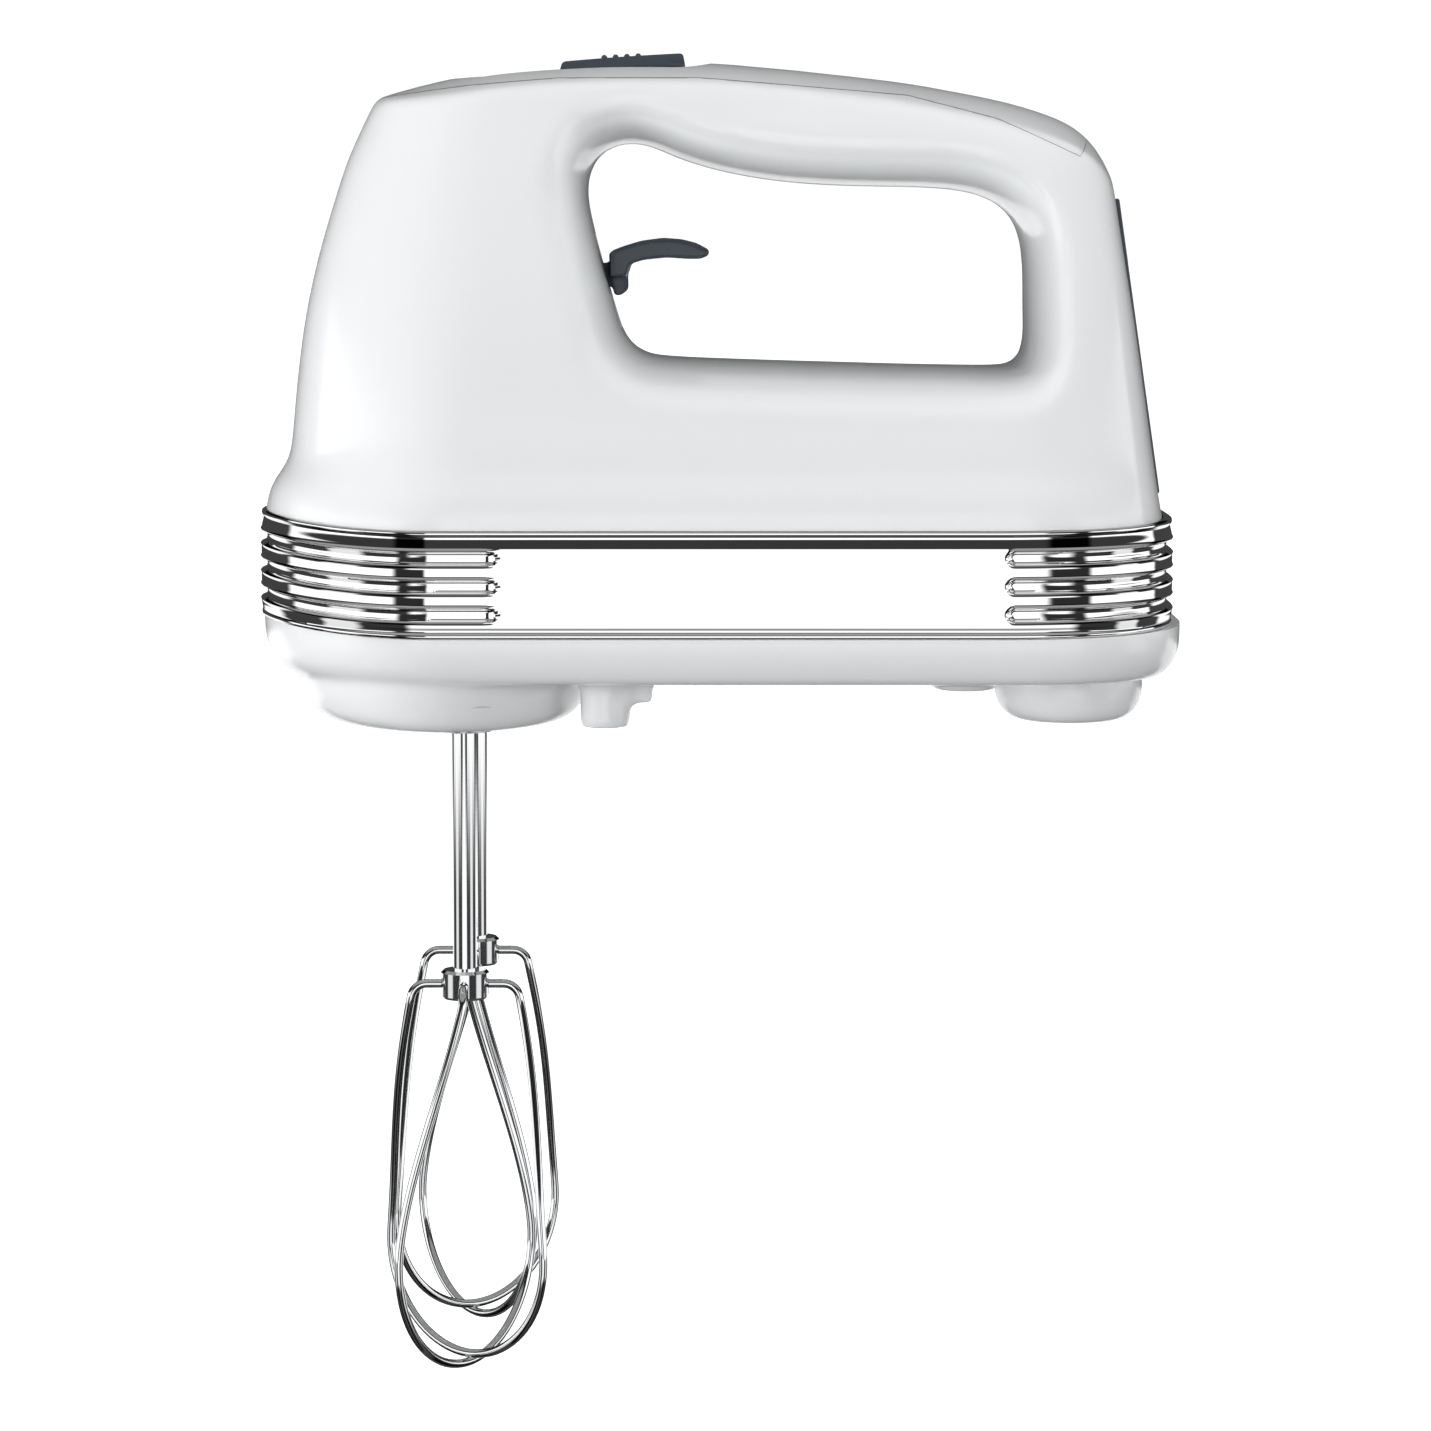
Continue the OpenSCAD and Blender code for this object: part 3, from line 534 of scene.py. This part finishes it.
def place(obj, body, material, slot, replaces, sharp=32):
    # millimetres to metres, shading, finish and body
    obj.data.transform(Matrix.Scale(0.001, 4))
    for poly in obj.data.polygons:
        poly.use_smooth = True
    obj.data.set_sharp_from_angle(angle=math.radians(sharp))
    obj.data.materials.clear()
    obj.data.materials.append(material)
    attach(obj, body)
    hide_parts(*replaces)
    print("placed", obj.name, len(obj.data.polygons), "faces")


# upper housing and handle cover

housing = {
    "front": [(36, -44.2), (43.9, -43.9), (47, -43.7), (50, -43), (53, -41.5), (55.5, -39.7), (58, -38.5),
              (63, -37.9), (70.7, -37.2), (83.4, -35.7), (93.4, -33.9), (104.4, -31.1), (113.3, -28.4),
              (120.6, -26), (127.6, -22.9), (134.4, -19.6), (141, -16.5), (152, -11)],
    "rear": [(36, 150), (43.9, 149.3), (47, 148.7), (70, 145.4), (87, 143), (102.5, 140.6), (115, 138.7),
             (121, 137.9), (135, 136.6), (152, 135.6)],
    "half": [(36, 44.4), (43.9, 44.2), (47, 44), (50, 43.4), (53, 42.3), (56, 41.2), (60, 40.5), (70, 39.1),
             (83, 36.8), (93, 34.2), (104, 30.9), (113, 28.1), (120, 25.8), (127, 23.4), (134, 21.3),
             (142, 19.7), (152, 18.6)],
    "noseLong": [(36, 0.9), (60, 1), (130, 1.25)],
    "top": [(-50, 124.5), (-40, 128.2), (-30, 131.2), (-19.4, 134.4), (-11.4, 136.7), (-2.4, 138.8),
            (7, 140.5), (20.4, 141.6), (34, 142.1), (50, 142), (63, 141.1), (78, 139.6), (94, 137.7),
            (103.3, 136.1), (113, 134.2), (122, 131.8), (129.4, 128.8), (133, 126.1), (135.6, 123),
            (138, 118.5), (141, 111), (150, 85)],
    "crown": 5.0, "crownHalf": 20, "crownPower": 0.68, "crownBlunt": 9, "crownLift": 0.075,
    "opening": [(26, 113.5), (26.4, 118), (29, 122.5), (34.3, 124.6), (39.5, 123.9), (46, 121.2), (54, 118.8),
                (64, 116.9), (75, 115.8), (86, 115.4), (97, 115.2), (105, 114.6), (111.2, 113.1),
                (115.8, 110.2), (118.6, 105.6), (119.7, 99), (119.9, 90), (120, 83), (119, 78.9),
                (115.6, 77.2), (100, 77.2), (80, 77.7), (60, 78.3), (44, 79), (38, 80), (34.3, 83.2),
                (32.2, 89), (28.9, 100.5), (27, 108)],
    "rim": 6, "draft": 3.5, "dish": 2.5, "rimPower": 0.6, "openingMiddle": (75, 98),
    "wall": 2.2, "low": 43.9, "voxel": 1.15, "rounds": 8, "post": 4, "pilot": 1.45,
    "split": [(-30, 134.2), (-19.5, 134.2), (0, 136.6), (20, 138.2), (50, 138.2), (94, 134.6), (113, 129.5),
              (130.2, 121.5), (136.2, 129.6), (136.2, 155), (-30, 155)],
    "seam": 0.1, "endGap": 0.35}
heelPower = 0.606


def planPoint(share, front, rear, half, noseLong, heelLong):
    # elliptical nose, straight flanks and a squarer heel
    turn = 2 * math.pi * share
    c, s = math.cos(turn), math.sin(turn)
    if c < 0:
        return front + noseLong * (1 + c), half * s
    bow = math.copysign(abs(s) ** heelPower, s)
    return rear - heelLong * (1 - abs(c) ** heelPower), half * bow


def housingWalls(inset):
    # body without its top, lofted through level outlines
    d = housing
    levels = [36 + 2 * k for k in range(8)] + [51, 52.5, 54, 55.5, 57, 58.5, 61, 64] \
        + [68 + 4 * k for k in range(22)]
    bm = bmesh.new()

    def ring(z):
        half = curveThrough(d["half"], z) - inset
        front = curveThrough(d["front"], z) + inset
        rear = curveThrough(d["rear"], z) - inset
        long = half * curveThrough(d["noseLong"], z)

        def point(share):
            x, y = planPoint(share, front, rear, half, long, 0.88 * half)
            return x, y, z
        return point

    ringLoft(bm, 128 if inset == 0 else 64, [ring(z) for z in levels])
    return meshObject(bm, "walls")


def housingTop(inset):
    # block under the crowned top surface
    d = housing
    bm = bmesh.new()
    stations = 100 if inset == 0 else 50
    bmesh.ops.create_grid(bm, x_segments=stations, y_segments=36, size=1)
    for vert in bm.verts:
        x, y = 50 + 100 * vert.co.x, 54 * vert.co.y
        share = (y * y + d["crownBlunt"]) / (d["crownHalf"] ** 2 + d["crownBlunt"])
        drop = d["crown"] * (share ** d["crownPower"] - d["crownLift"])
        vert.co = x, y, curveThrough(d["top"], x) - drop - inset
    grown = bmesh.ops.extrude_face_region(bm, geom=bm.faces[:])["geom"]
    for item in grown:
        if isinstance(item, bmesh.types.BMVert):
            item.co.z = 20
    bmesh.ops.recalc_face_normals(bm, faces=bm.faces)
    return meshObject(bm, "topBlock")


def openingCutter(wall):
    # handle opening, narrowest in the middle, with a soft dished rim on both flanks
    d = housing
    outline = closedCurve(d["opening"], 120)
    count = len(outline)
    normals = []
    for i in range(count):
        along = outline[(i + 1) % count] - outline[i - 1]
        normals.append(Vector((-along.y, along.x)).normalized())
    flip = 1 if normals[0].dot(outline[0] - Vector(d["openingMiddle"])) > 0 else -1
    bm = bmesh.new()

    def ring(angle, side, reach=None):
        inward, outward = abs(math.cos(angle)) ** d["rimPower"], abs(math.sin(angle)) ** d["rimPower"]

        def point(share):
            i = round(share * count) % count
            grow = d["rim"] * (1 - inward) + d["draft"] * outward ** 2 + wall * inward
            spot = outline[i] + normals[i] * flip * grow
            y = (curveThrough(d["half"], spot.y) - d["dish"] * inward - wall) * outward
            return spot.x, side * (reach or y), spot.y
        return point

    angles = [math.radians(7.5 * k) for k in range(1, 13)]
    rings = [ring(angles[-1], left, 80)] + [ring(a, left) for a in reversed(angles)] \
        + [ring(0, left)] + [ring(a, right) for a in angles] + [ring(angles[-1], right, 80)]
    ringLoft(bm, count, rings)
    return meshObject(bm, "openingCutter")


def housingSolid(wall):
    solid = housingWalls(wall)
    cut(solid, housingTop(wall), "INTERSECT")
    cut(solid, openingCutter(wall))
    return solid


bandEdge = {"noseRise": 2.5, "noseFrom": -5, "noseTo": -45, "heelRise": 1.3, "heelFrom": 112, "heelTo": 152}


def edgeRise(x):
    # the band's edges climb a little towards nose and heel
    d = bandEdge
    if x < d["noseFrom"]:
        return d["noseRise"] * ((d["noseFrom"] - x) / (d["noseFrom"] - d["noseTo"])) ** 2
    if x > d["heelFrom"]:
        return d["heelRise"] * ((x - d["heelFrom"]) / (d["heelTo"] - d["heelFrom"])) ** 2
    return 0


def edgeBlock(z, far):
    # block that ends on the band's rising edge at height z
    bm = bmesh.new()
    bmesh.ops.create_grid(bm, x_segments=120, y_segments=1, size=1)
    for vert in bm.verts:
        x = 53 + 112 * vert.co.x
        vert.co = x, 60 * vert.co.y, z + edgeRise(x)
    grown = bmesh.ops.extrude_face_region(bm, geom=bm.faces[:])["geom"]
    for item in grown:
        if isinstance(item, bmesh.types.BMVert):
            item.co.z = far
    bmesh.ops.recalc_face_normals(bm, faces=bm.faces)
    return meshObject(bm, "edgeBlock")


screws = {"front": (30, 24, 0.9), "rear": (106, 28, 9.3), "top": 17}
screwPlaces = [Vector((row[0], side * row[1], row[2])) for row in (screws["front"], screws["rear"])
               for side in (left, right)]
lever = {"lean": 14.1, "slotMiddle": (29.5, 0, 95), "slotSize": (15, 11.4, 21),
         "blade": [(31, 96.2), (34.4, 96.2), (35.2, 98.8), (38, 99.7), (43, 100.2), (47.5, 99.9),
                   (50.2, 99.9), (52.1, 100.7), (52, 101.8), (49.2, 103.3), (46, 104.1), (42, 104.4), (37.4, 103.8),
                   (33.5, 102.6), (31, 101.6)],
         "stem": [(30.4, 101), (34.4, 101), (34.6, 93.2), (33, 92), (31.6, 92)],
         "arm": [(33, 99), (33, 94), (13, 94), (13, 64.2), (6, 64.2), (6, 99)]}
knob = {"front": 20, "long": 27, "wide": 15, "tall": 2.9, "low": 139.7, "lean": 2.6, "ridges": 4,
        "seat": 0.2}
heelStrip = {"middle": (143, 0, 81), "lean": 8.2, "long": 64, "wide": 14, "deep": 3, "ribs": 13,
             "pitch": 4.6}


def leanBlock(name, middle, size, lean):
    block = boxObject(name, -Vector(size) / 2, Vector(size) / 2)
    turn = Matrix.Rotation(math.radians(-lean), 4, "Y")
    block.data.transform(Matrix.Translation(middle) @ turn)
    return block


def knobFrame(drop=0):
    return Matrix.Translation((knob["front"], 0, knob["low"] - drop)) \
        @ Matrix.Rotation(math.radians(-knob["lean"]), 4, "Y")


def knobTrack(cover):
    # shallow track with a round front end, and the slot for the knob's tongue
    bm = bmesh.new()
    bmesh.ops.create_cone(bm, cap_ends=True, segments=64, radius1=8.4, radius2=9.6, depth=10)
    for vert in bm.verts:
        vert.co.x += -16 if vert.co.x < 0 else 24
        vert.co.z += 5
    bmesh.ops.transform(bm, verts=bm.verts, matrix=knobFrame(knob["seat"]))
    cut(cover, meshObject(bm, "track"))
    slot = boxObject("tongueSlot", (-18, -2.6, -12), (26, 2.6, 2))
    slot.data.transform(knobFrame(knob["seat"]))
    cut(cover, slot)


def makeHousing():
    d = housing
    blank = housingSolid(0)
    blank.name = "upperHousing"
    soften(blank, d["voxel"], d["rounds"])
    cover = blank.copy()
    cover.data = blank.data.copy()
    cover.name = "handleCover"
    bpy.context.collection.objects.link(cover)
    cut(blank, housingSolid(d["wall"]))
    cut(blank, edgeBlock(d["low"], 0))
    for spot in screwPlaces:
        cut(blank, rodObject("post", (spot.x, spot.y, screws["top"]), (0, 0, 1), d["post"], 43), "UNION")
        cut(blank, rodObject("pilot", (spot.x, spot.y, screws["top"] - 1), (0, 0, 1), d["pilot"], 25, 24))
    cut(blank, sideSlab("lidSpace", d["split"], 60))
    cut(blank, leanBlock("leverSlot", lever["slotMiddle"], lever["slotSize"], lever["lean"]))
    strip = heelStrip
    size = strip["deep"] + 0.3, strip["wide"] + 0.4, strip["long"] + 0.4
    cut(blank, leanBlock("stripSeat", strip["middle"], size, strip["lean"]))
    lid = [(x - (d["endGap"] if x > 133 else 0), z + d["seam"]) for x, z in d["split"]]
    cut(cover, sideSlab("lid", lid, 60), "INTERSECT")
    knobTrack(cover)
    place(blank, "housing", whiteGloss, "white_moulding", ["upper_housing"])
    place(cover, "housing", whiteGloss, "white_moulding", ["handle_cover"])


makeHousing()
print("housing and handle cover done")


# chromed trim band round the body

band = {"front": -45, "rear": 151.5, "half": 44.5, "noseLong": 40, "heelLong": 39, "low": 21.2, "high": 43.9,
        "around": 700, "rows": 92, "base": 0.75, "thick": 1.5, "bead": 1.3, "grooveDeep": 1.0,
        "grooveHigh": 2.6, "lip": 0.24, "grooves": (5.1, 11.0, 16.9), "grooveFront": 7.4, "grooveRear": 114.3}


def smoothStep(low, high, value):
    t = min(1, max(0, (value - low) / (high - low)))
    return t * t * (3 - 2 * t)


def bandOutline(inset):
    # even steps round the plan outline, with the outward direction at each
    d = band
    samples = 6000
    dense = []
    for i in range(samples):
        x, y = planPoint(i / samples, d["front"] + inset, d["rear"] - inset, d["half"] - inset,
                         d["noseLong"] - inset, d["heelLong"] - inset)
        dense.append(Vector((x, y)))

    def fine(spot):                                       # finer steps where the grooves end
        end = min(abs(spot.x - d["grooveFront"] + 1), abs(spot.x - d["grooveRear"] - 1))
        return 1 + 2 * smoothStep(5, 2.5, end)

    spots = evenSpots(dense, d["around"], fine)
    outward = []
    for i in range(len(spots)):
        along = spots[(i + 1) % len(spots)] - spots[i - 1]
        outward.append(Vector((along.y, -along.x)).normalized())
    return spots, outward


def bandRelief(x, h):
    # height of the band's face over its base line, at x and h above the lower edge
    d = band
    tall = d["high"] - d["low"]
    ends = max(smoothStep(0, -42, x), smoothStep(116, 150, x))
    relief = 0.28 - 0.5 * smoothStep(tall - 4.4, tall - d["bead"], h) - 0.22 * smoothStep(3.0, d["bead"], h)
    gap = min(abs(h - level) for level in d["grooves"])
    pitch = d["grooves"][1] - d["grooves"][0]
    rib = min(abs(h - level - pitch / 2) for level in (d["grooves"][0] - pitch, *d["grooves"])) / (pitch / 2)
    relief += ends * (0.42 * math.sqrt(max(0, 1 - rib * rib)) - 0.15)
    radius = d["grooveHigh"] / 2
    past = x - (d["grooveFront"] - radius) if x < 50 else d["grooveRear"] + radius - x
    over = math.hypot(max(0, past), gap) - radius
    relief -= d["grooveDeep"] * (0.6 + 0.4 * ends) * smoothStep(0.1, -0.45, over)
    relief += d["lip"] * math.exp(-((over - 0.3) / 0.24) ** 2)
    for edge in (0, tall):
        near = abs(h - edge) / d["bead"]
        if near < 1:
            relief = 0.04 + 0.42 * math.sqrt(max(0, 1 - (2 * near - 1) ** 2))
    return relief


def makeBand():
    d = band
    tall = d["high"] - d["low"]
    spots, outward = bandOutline(d["base"])
    bm = bmesh.new()
    bmesh.ops.create_grid(bm, x_segments=d["around"], y_segments=d["rows"], size=1)
    for vert in bm.verts:
        i = round((vert.co.x + 1) / 2 * d["around"]) % d["around"]
        h = (vert.co.y + 1) / 2 * tall
        spot = spots[i] + outward[i] * min(d["base"], bandRelief(spots[i].x, h))
        vert.co = spot.x, spot.y, d["low"] + h + edgeRise(spots[i].x)
    bmesh.ops.remove_doubles(bm, verts=bm.verts, dist=0.0005)
    rims = [edge for edge in bm.edges if edge.is_boundary]
    grown = bmesh.ops.extrude_edge_only(bm, edges=rims)["geom"]
    for item in grown:
        if isinstance(item, bmesh.types.BMVert):
            middle = Vector((min(max(item.co.x, d["front"] + 40), d["rear"] - 40), 0))
            inward = (middle - item.co.xy).normalized()
            item.co.xy += inward * d["thick"]
    bmesh.ops.bridge_loops(bm, edges=[edge for edge in bm.edges if edge.is_boundary])
    bmesh.ops.recalc_face_normals(bm, faces=bm.faces)
    place(meshObject(bm, "trimBand"), "housing", mirrorTrim, "polished_trim", ["trim_band"], 50)


makeBand()
print("trim band done")


# bottom cover, screw bosses and cord swivel

bottom = {
    "rim": [(11, -37, 147, 37.6), (11.5, -38.8, 148.8, 39.4), (12.7, -40.8, 150.6, 41.1),
            (15, -42.7, 152.1, 42.9), (18, -43.8, 152.9, 43.9), (21.2, -44.2, 153, 44.2),
            (26, -44.2, 153, 44.2)],
    "bowl": [(0, -22, 15, 28), (0.4, -27, 19.5, 30.6), (1.4, -31, 22, 32.8), (3.2, -34, 24, 34.6),
             (5.6, -35.8, 25.2, 35.8), (8.8, -37.2, 26.2, 37), (13, -37.6, 26.8, 37.4)],
    "voxel": 1.05, "rounds": 5, "wall": 2.2, "bossFront": 5.4, "bossRear": 6.6, "chuckHole": 7}
swivel = {"x": 130, "hole": 12, "outlet": 5.6, "grommet": 4.6,
          "profile": [(0, 0), (8, 0), (10.6, 0.25), (12.6, 0.95), (14.2, 2.2), (15.3, 3.9), (15.85, 5.8),
                      (16, 7.6), (16, 9.9), (15.8, 10.45), (15.3, 10.7), (9, 10.7), (9, 17.1), (7.5, 17.1),
                      (7.5, 19.6), (0, 19.6)]}


def coverBlank(inset):
    # shallow rim with the bowl for the gearbox under its nose
    def rimRing(row):
        z, front, rear, half = row

        def point(share):
            x, y = planPoint(share, front + inset, rear - inset, half - inset, 40 - inset, 39 - inset)
            return x, y, z + inset
        return point

    def bowlRing(row):
        z, front, rear, half = row

        def point(share):
            turn = 2 * math.pi * share
            return (front + rear) / 2 + ((rear - front) / 2 - inset) * math.cos(turn), \
                (half - inset) * math.sin(turn), z + inset
        return point

    bm = bmesh.new()
    ringLoft(bm, 120, [rimRing(row) for row in bottom["rim"]])
    rim = meshObject(bm, "rim")
    bm = bmesh.new()
    ringLoft(bm, 96, [bowlRing(row) for row in bottom["bowl"]])
    cut(rim, meshObject(bm, "bowl"), "UNION")
    return rim


def makeBottom():
    d = bottom
    cover = coverBlank(0)
    cover.name = "bottomCover"
    for spot in screwPlaces:
        front = spot.x < 60
        radius = d["bossFront"] if front else d["bossRear"]
        cut(cover, rodObject("boss", spot, (0, 0, 1), radius, 14), "UNION")
        if front:                                         # web behind each front boss
            web = boxObject("web", (spot.x, spot.y - 2.4, 6.2), (spot.x + 10, spot.y + 2.4, 14))
            cut(cover, web, "UNION")
    soften(cover, d["voxel"], d["rounds"])
    cut(cover, edgeBlock(band["low"], 60))
    inside = coverBlank(d["wall"])
    cut(cover, inside)
    for spot in screwPlaces:
        radius = d["bossFront"] if spot.x < 60 else d["bossRear"]
        foot = spot + Vector((0, 0, 4))
        post = rodObject("post", foot, (0, 0, 1), radius - 1.4, screws["top"] - foot.z)
        cut(cover, post, "UNION")
        cut(cover, rodObject("screwHole", (spot.x, spot.y, -2), (0, 0, 1), 1.6, 30, 32))
        cut(cover, rodObject("sink", (spot.x, spot.y, spot.z - 2), (0, 0, 1), 3.3, 4.5))
    for side in (left, right):
        cut(cover, rodObject("chuckHole", (0, side * chuckY, -2), (0, 0, 1), d["chuckHole"], 15, 64))
    cut(cover, rodObject("swivelHole", (swivel["x"], 0, 4), (0, 0, 1), swivel["hole"], 16, 64))
    place(cover, "housing", whiteGloss, "white_moulding", ["bottom_cover"])


def makeSwivel():
    d = swivel
    dome = spunObject("swivelDome", d["profile"], 96)
    dome.data.transform(Matrix.Translation((d["x"], 0, 0)))
    cut(dome, rodObject("wireWay", (d["x"], 0, d["outlet"]), (0, 0, 1), 4.2, 20))
    cut(dome, rodObject("outlet", (d["x"], -2, d["outlet"]), (0, 1, 0), d["grommet"], 20))
    place(dome, "swivel", whiteGloss, "white_moulding", ["cord_swivel"])


makeBottom()
makeSwivel()
print("bottom cover and swivel done")


# dark mouldings: heel strip, speed knob and eject lever

def makeHeelStrip():
    d = heelStrip
    bm = bmesh.new()
    bmesh.ops.create_cube(bm, size=1)
    bmesh.ops.scale(bm, verts=bm.verts, vec=(d["deep"], d["wide"], d["long"]))
    bmesh.ops.bevel(bm, geom=bm.edges[:], offset=0.5, affect="EDGES", segments=3, profile=0.5, material=-1)
    strip = meshObject(bm, "heelStrip")
    for i in range(d["ribs"]):                            # shallow cross grooves for grip
        z = (i - (d["ribs"] - 1) / 2) * d["pitch"]
        cut(strip, boxObject("groove", (d["deep"] / 2 - 0.35, -5.6, z - 0.5), (d["deep"], 5.6, z + 0.5)))
    turn = Matrix.Rotation(math.radians(-d["lean"]), 4, "Y")
    strip.data.transform(Matrix.Translation(d["middle"]) @ turn)
    place(strip, "housing", slatePlastic, "dark_moulding", ["heel_strip"])


def makeKnob():
    d = knob
    bm = bmesh.new()
    bmesh.ops.create_cube(bm, size=1)
    bmesh.ops.subdivide_edges(bm, edges=[e for e in bm.edges if abs(e.verts[0].co.x - e.verts[1].co.x) > 0.5],
                              cuts=12, use_grid_fill=True)
    for vert in bm.verts:                                 # sides lean in, top falls a little to the front
        x, y, z = vert.co + Vector((0.5, 0, 0.5))
        low, high = 0.7 * z, d["long"] - 0.4 * z
        crown = d["tall"] - 0.6 * (1 - x) ** 2
        vert.co = low + x * (high - low), y * (d["wide"] - 1.6 * z), z * crown
    sharp = [e for e in bm.edges if len(e.link_faces) == 2 and e.calc_face_angle() > 0.6]
    bmesh.ops.bevel(bm, geom=sharp, offset=0.7, affect="EDGES", segments=3, profile=0.5, material=-1)
    shape = meshObject(bm, "speedKnob")
    for i in range(d["ridges"]):
        x = d["long"] * (0.36 + 0.09 * i)
        cut(shape, rodObject("ridge", (x, -5.6, 2.72), (0, 1, 0), 0.62, 11.2, 32), "UNION")
    cut(shape, boxObject("tongue", (9, -2, -8.5), (17, 2, 1)), "UNION")
    shape.data.transform(knobFrame())
    place(shape, "knob", slatePlastic, "dark_moulding", ["speed_knob"])


def makeLever():
    d = lever
    blade = sideSlab("ejectLever", d["blade"], 11)
    cut(blade, sideSlab("stem", d["stem"], 5), "UNION")
    cut(blade, sideSlab("arm", d["arm"], 4.5), "UNION")
    soften(blade, 0.45, 4)
    place(blade, "lever", slatePlastic, "dark_moulding", ["eject_lever"])


makeHeelStrip()
makeKnob()
makeLever()
print("dark mouldings done")


# beaters

beater = {"y": chuckY, "shaft": 2.55, "top": 38, "hubZ": -54.2, "hubR": 5.15, "hubHigh": 6.2, "wire": 0.95,
          "cage": 21.6, "wide": -112, "low": -136.2, "lift": 2.1, "twist": 38, "bend": 3.4, "bendMid": 8.2,
          "bendTurn": 78.8, "shoulder": (13.9, -69)}


def loopPath(low):
    # one wire loop before it is wound round the axis, from one hub hole to the other
    d = beater
    z = d["hubZ"]
    half = [(3.3, z), (5.5, z), (7.2, z), (d["bendMid"], z)]
    for i in range(1, 9):
        turn = math.radians(90 - d["bendTurn"] * i / 8)
        half.append((d["bendMid"] + d["bend"] * math.cos(turn), z + d["bend"] * (math.sin(turn) - 1)))
    a, b = Vector(half[-1]), Vector(d["shoulder"])
    c, e = Vector((d["cage"], d["wide"] + 8.5)), Vector((d["cage"], d["wide"]))
    for i in range(1, 25):
        t = i / 24
        spot = (1 - t) ** 3 * a + 3 * (1 - t) ** 2 * t * b + 3 * (1 - t) * t * t * c + t ** 3 * e
        half.append((spot.x, spot.y))
    for i in range(1, 21):
        turn = math.radians(4.5 * i)
        half.append((d["cage"] * math.cos(turn), d["wide"] + (low - d["wide"]) * math.sin(turn)))
    return half + [(-r, z) for r, z in reversed(half[:-1])]


def winding(z):
    # share of the whole twist at a given height
    d = beater
    top = d["hubZ"] - d["bend"]
    return math.sin(math.pi / 2 * min(1, max(0, (top - z) / (top - d["wide"]))))


def makeLoop(name, side, turn, low, node):
    # bent wire of one loop, swept round
    d = beater
    curve = bpy.data.curves.new(name, "CURVE")
    curve.dimensions = "3D"
    curve.bevel_depth = d["wire"]
    curve.bevel_resolution = 5
    curve.use_fill_caps = True
    path = loopPath(low)
    spline = curve.splines.new("POLY")
    spline.points.add(len(path) - 1)
    for point, (r, z) in zip(spline.points, path):
        wound = math.radians(turn + side * d["twist"] * winding(z))
        spot = Matrix.Rotation(wound, 3, "Z") @ Vector((r, 0, z))
        point.co = (spot.x, spot.y + side * d["y"], spot.z, 1)
    rig = bpy.data.objects.new(name + "Curve", curve)
    bpy.context.collection.objects.link(rig)
    mesh = bpy.data.meshes.new_from_object(rig.evaluated_get(bpy.context.evaluated_depsgraph_get()))
    bpy.data.objects.remove(rig)
    obj = bpy.data.objects.new(name, mesh)
    bpy.context.collection.objects.link(obj)
    bm = bmesh.new()
    bm.from_mesh(mesh)
    bmesh.ops.remove_doubles(bm, verts=bm.verts, dist=0.0001)
    bmesh.ops.recalc_face_normals(bm, faces=bm.faces)
    bm.to_mesh(mesh)
    bm.free()
    place(obj, "beater_left" if side == left else "beater_right", wireChrome, "beater_chrome", [node], 60)


def makeBeater(side, word):
    d = beater
    r, low, high = d["shaft"], d["hubZ"] - 3.3, d["top"]
    shaft = spunObject("beaterShaft" + word, [
        (0, low), (r - 0.5, low), (r, low + 0.5), (r, 12), (r - 0.4, 12.3), (r - 0.4, 12.9), (r, 13.2),
        (r, high - 1), (r - 0.8, high), (0, high)])
    cut(shaft, boxObject("ears", (-0.7, -3.6, 24), (0.7, 3.6, 32)), "UNION")
    half, rim = d["hubHigh"] / 2, d["hubR"]
    z = d["hubZ"]
    hub = spunObject("beaterHub" + word, [
        (r, z - half), (rim - 0.6, z - half), (rim, z - half + 0.6), (rim, z + half - 0.6),
        (rim - 0.6, z + half), (r, z + half), (r, z - half)])
    for i in range(4):                                    # notch and hole where each wire enters
        turn = Matrix.Rotation(math.radians(90 * i), 4, "Z")
        notch = boxObject("notch", (rim - 0.55, -d["wire"], z - half - 1), (rim + 2, d["wire"], z + 0.4))
        notch.data.transform(turn)
        cut(hub, notch)
        hole = rodObject("hole", (3.1, 0, z), (1, 0, 0), d["wire"] + 0.05, 4, 24)
        hole.data.transform(turn)
        cut(hub, hole)
    body, ending = ("beater_left", "left") if side == left else ("beater_right", "right")
    for obj, node in ((shaft, "beater_shaft_"), (hub, "beater_hub_")):
        obj.data.transform(Matrix.Translation((0, side * d["y"], 0)))
        place(obj, body, wireChrome, "beater_chrome", [node + ending], 40)
    makeLoop("wireLoopA" + word, side, 0, d["low"] + d["lift"], "wire_loop_a_" + ending)
    makeLoop("wireLoopB" + word, side, 90, d["low"], "wire_loop_b_" + ending)


makeBeater(left, "Left")
makeBeater(right, "Right")
print("beaters done")
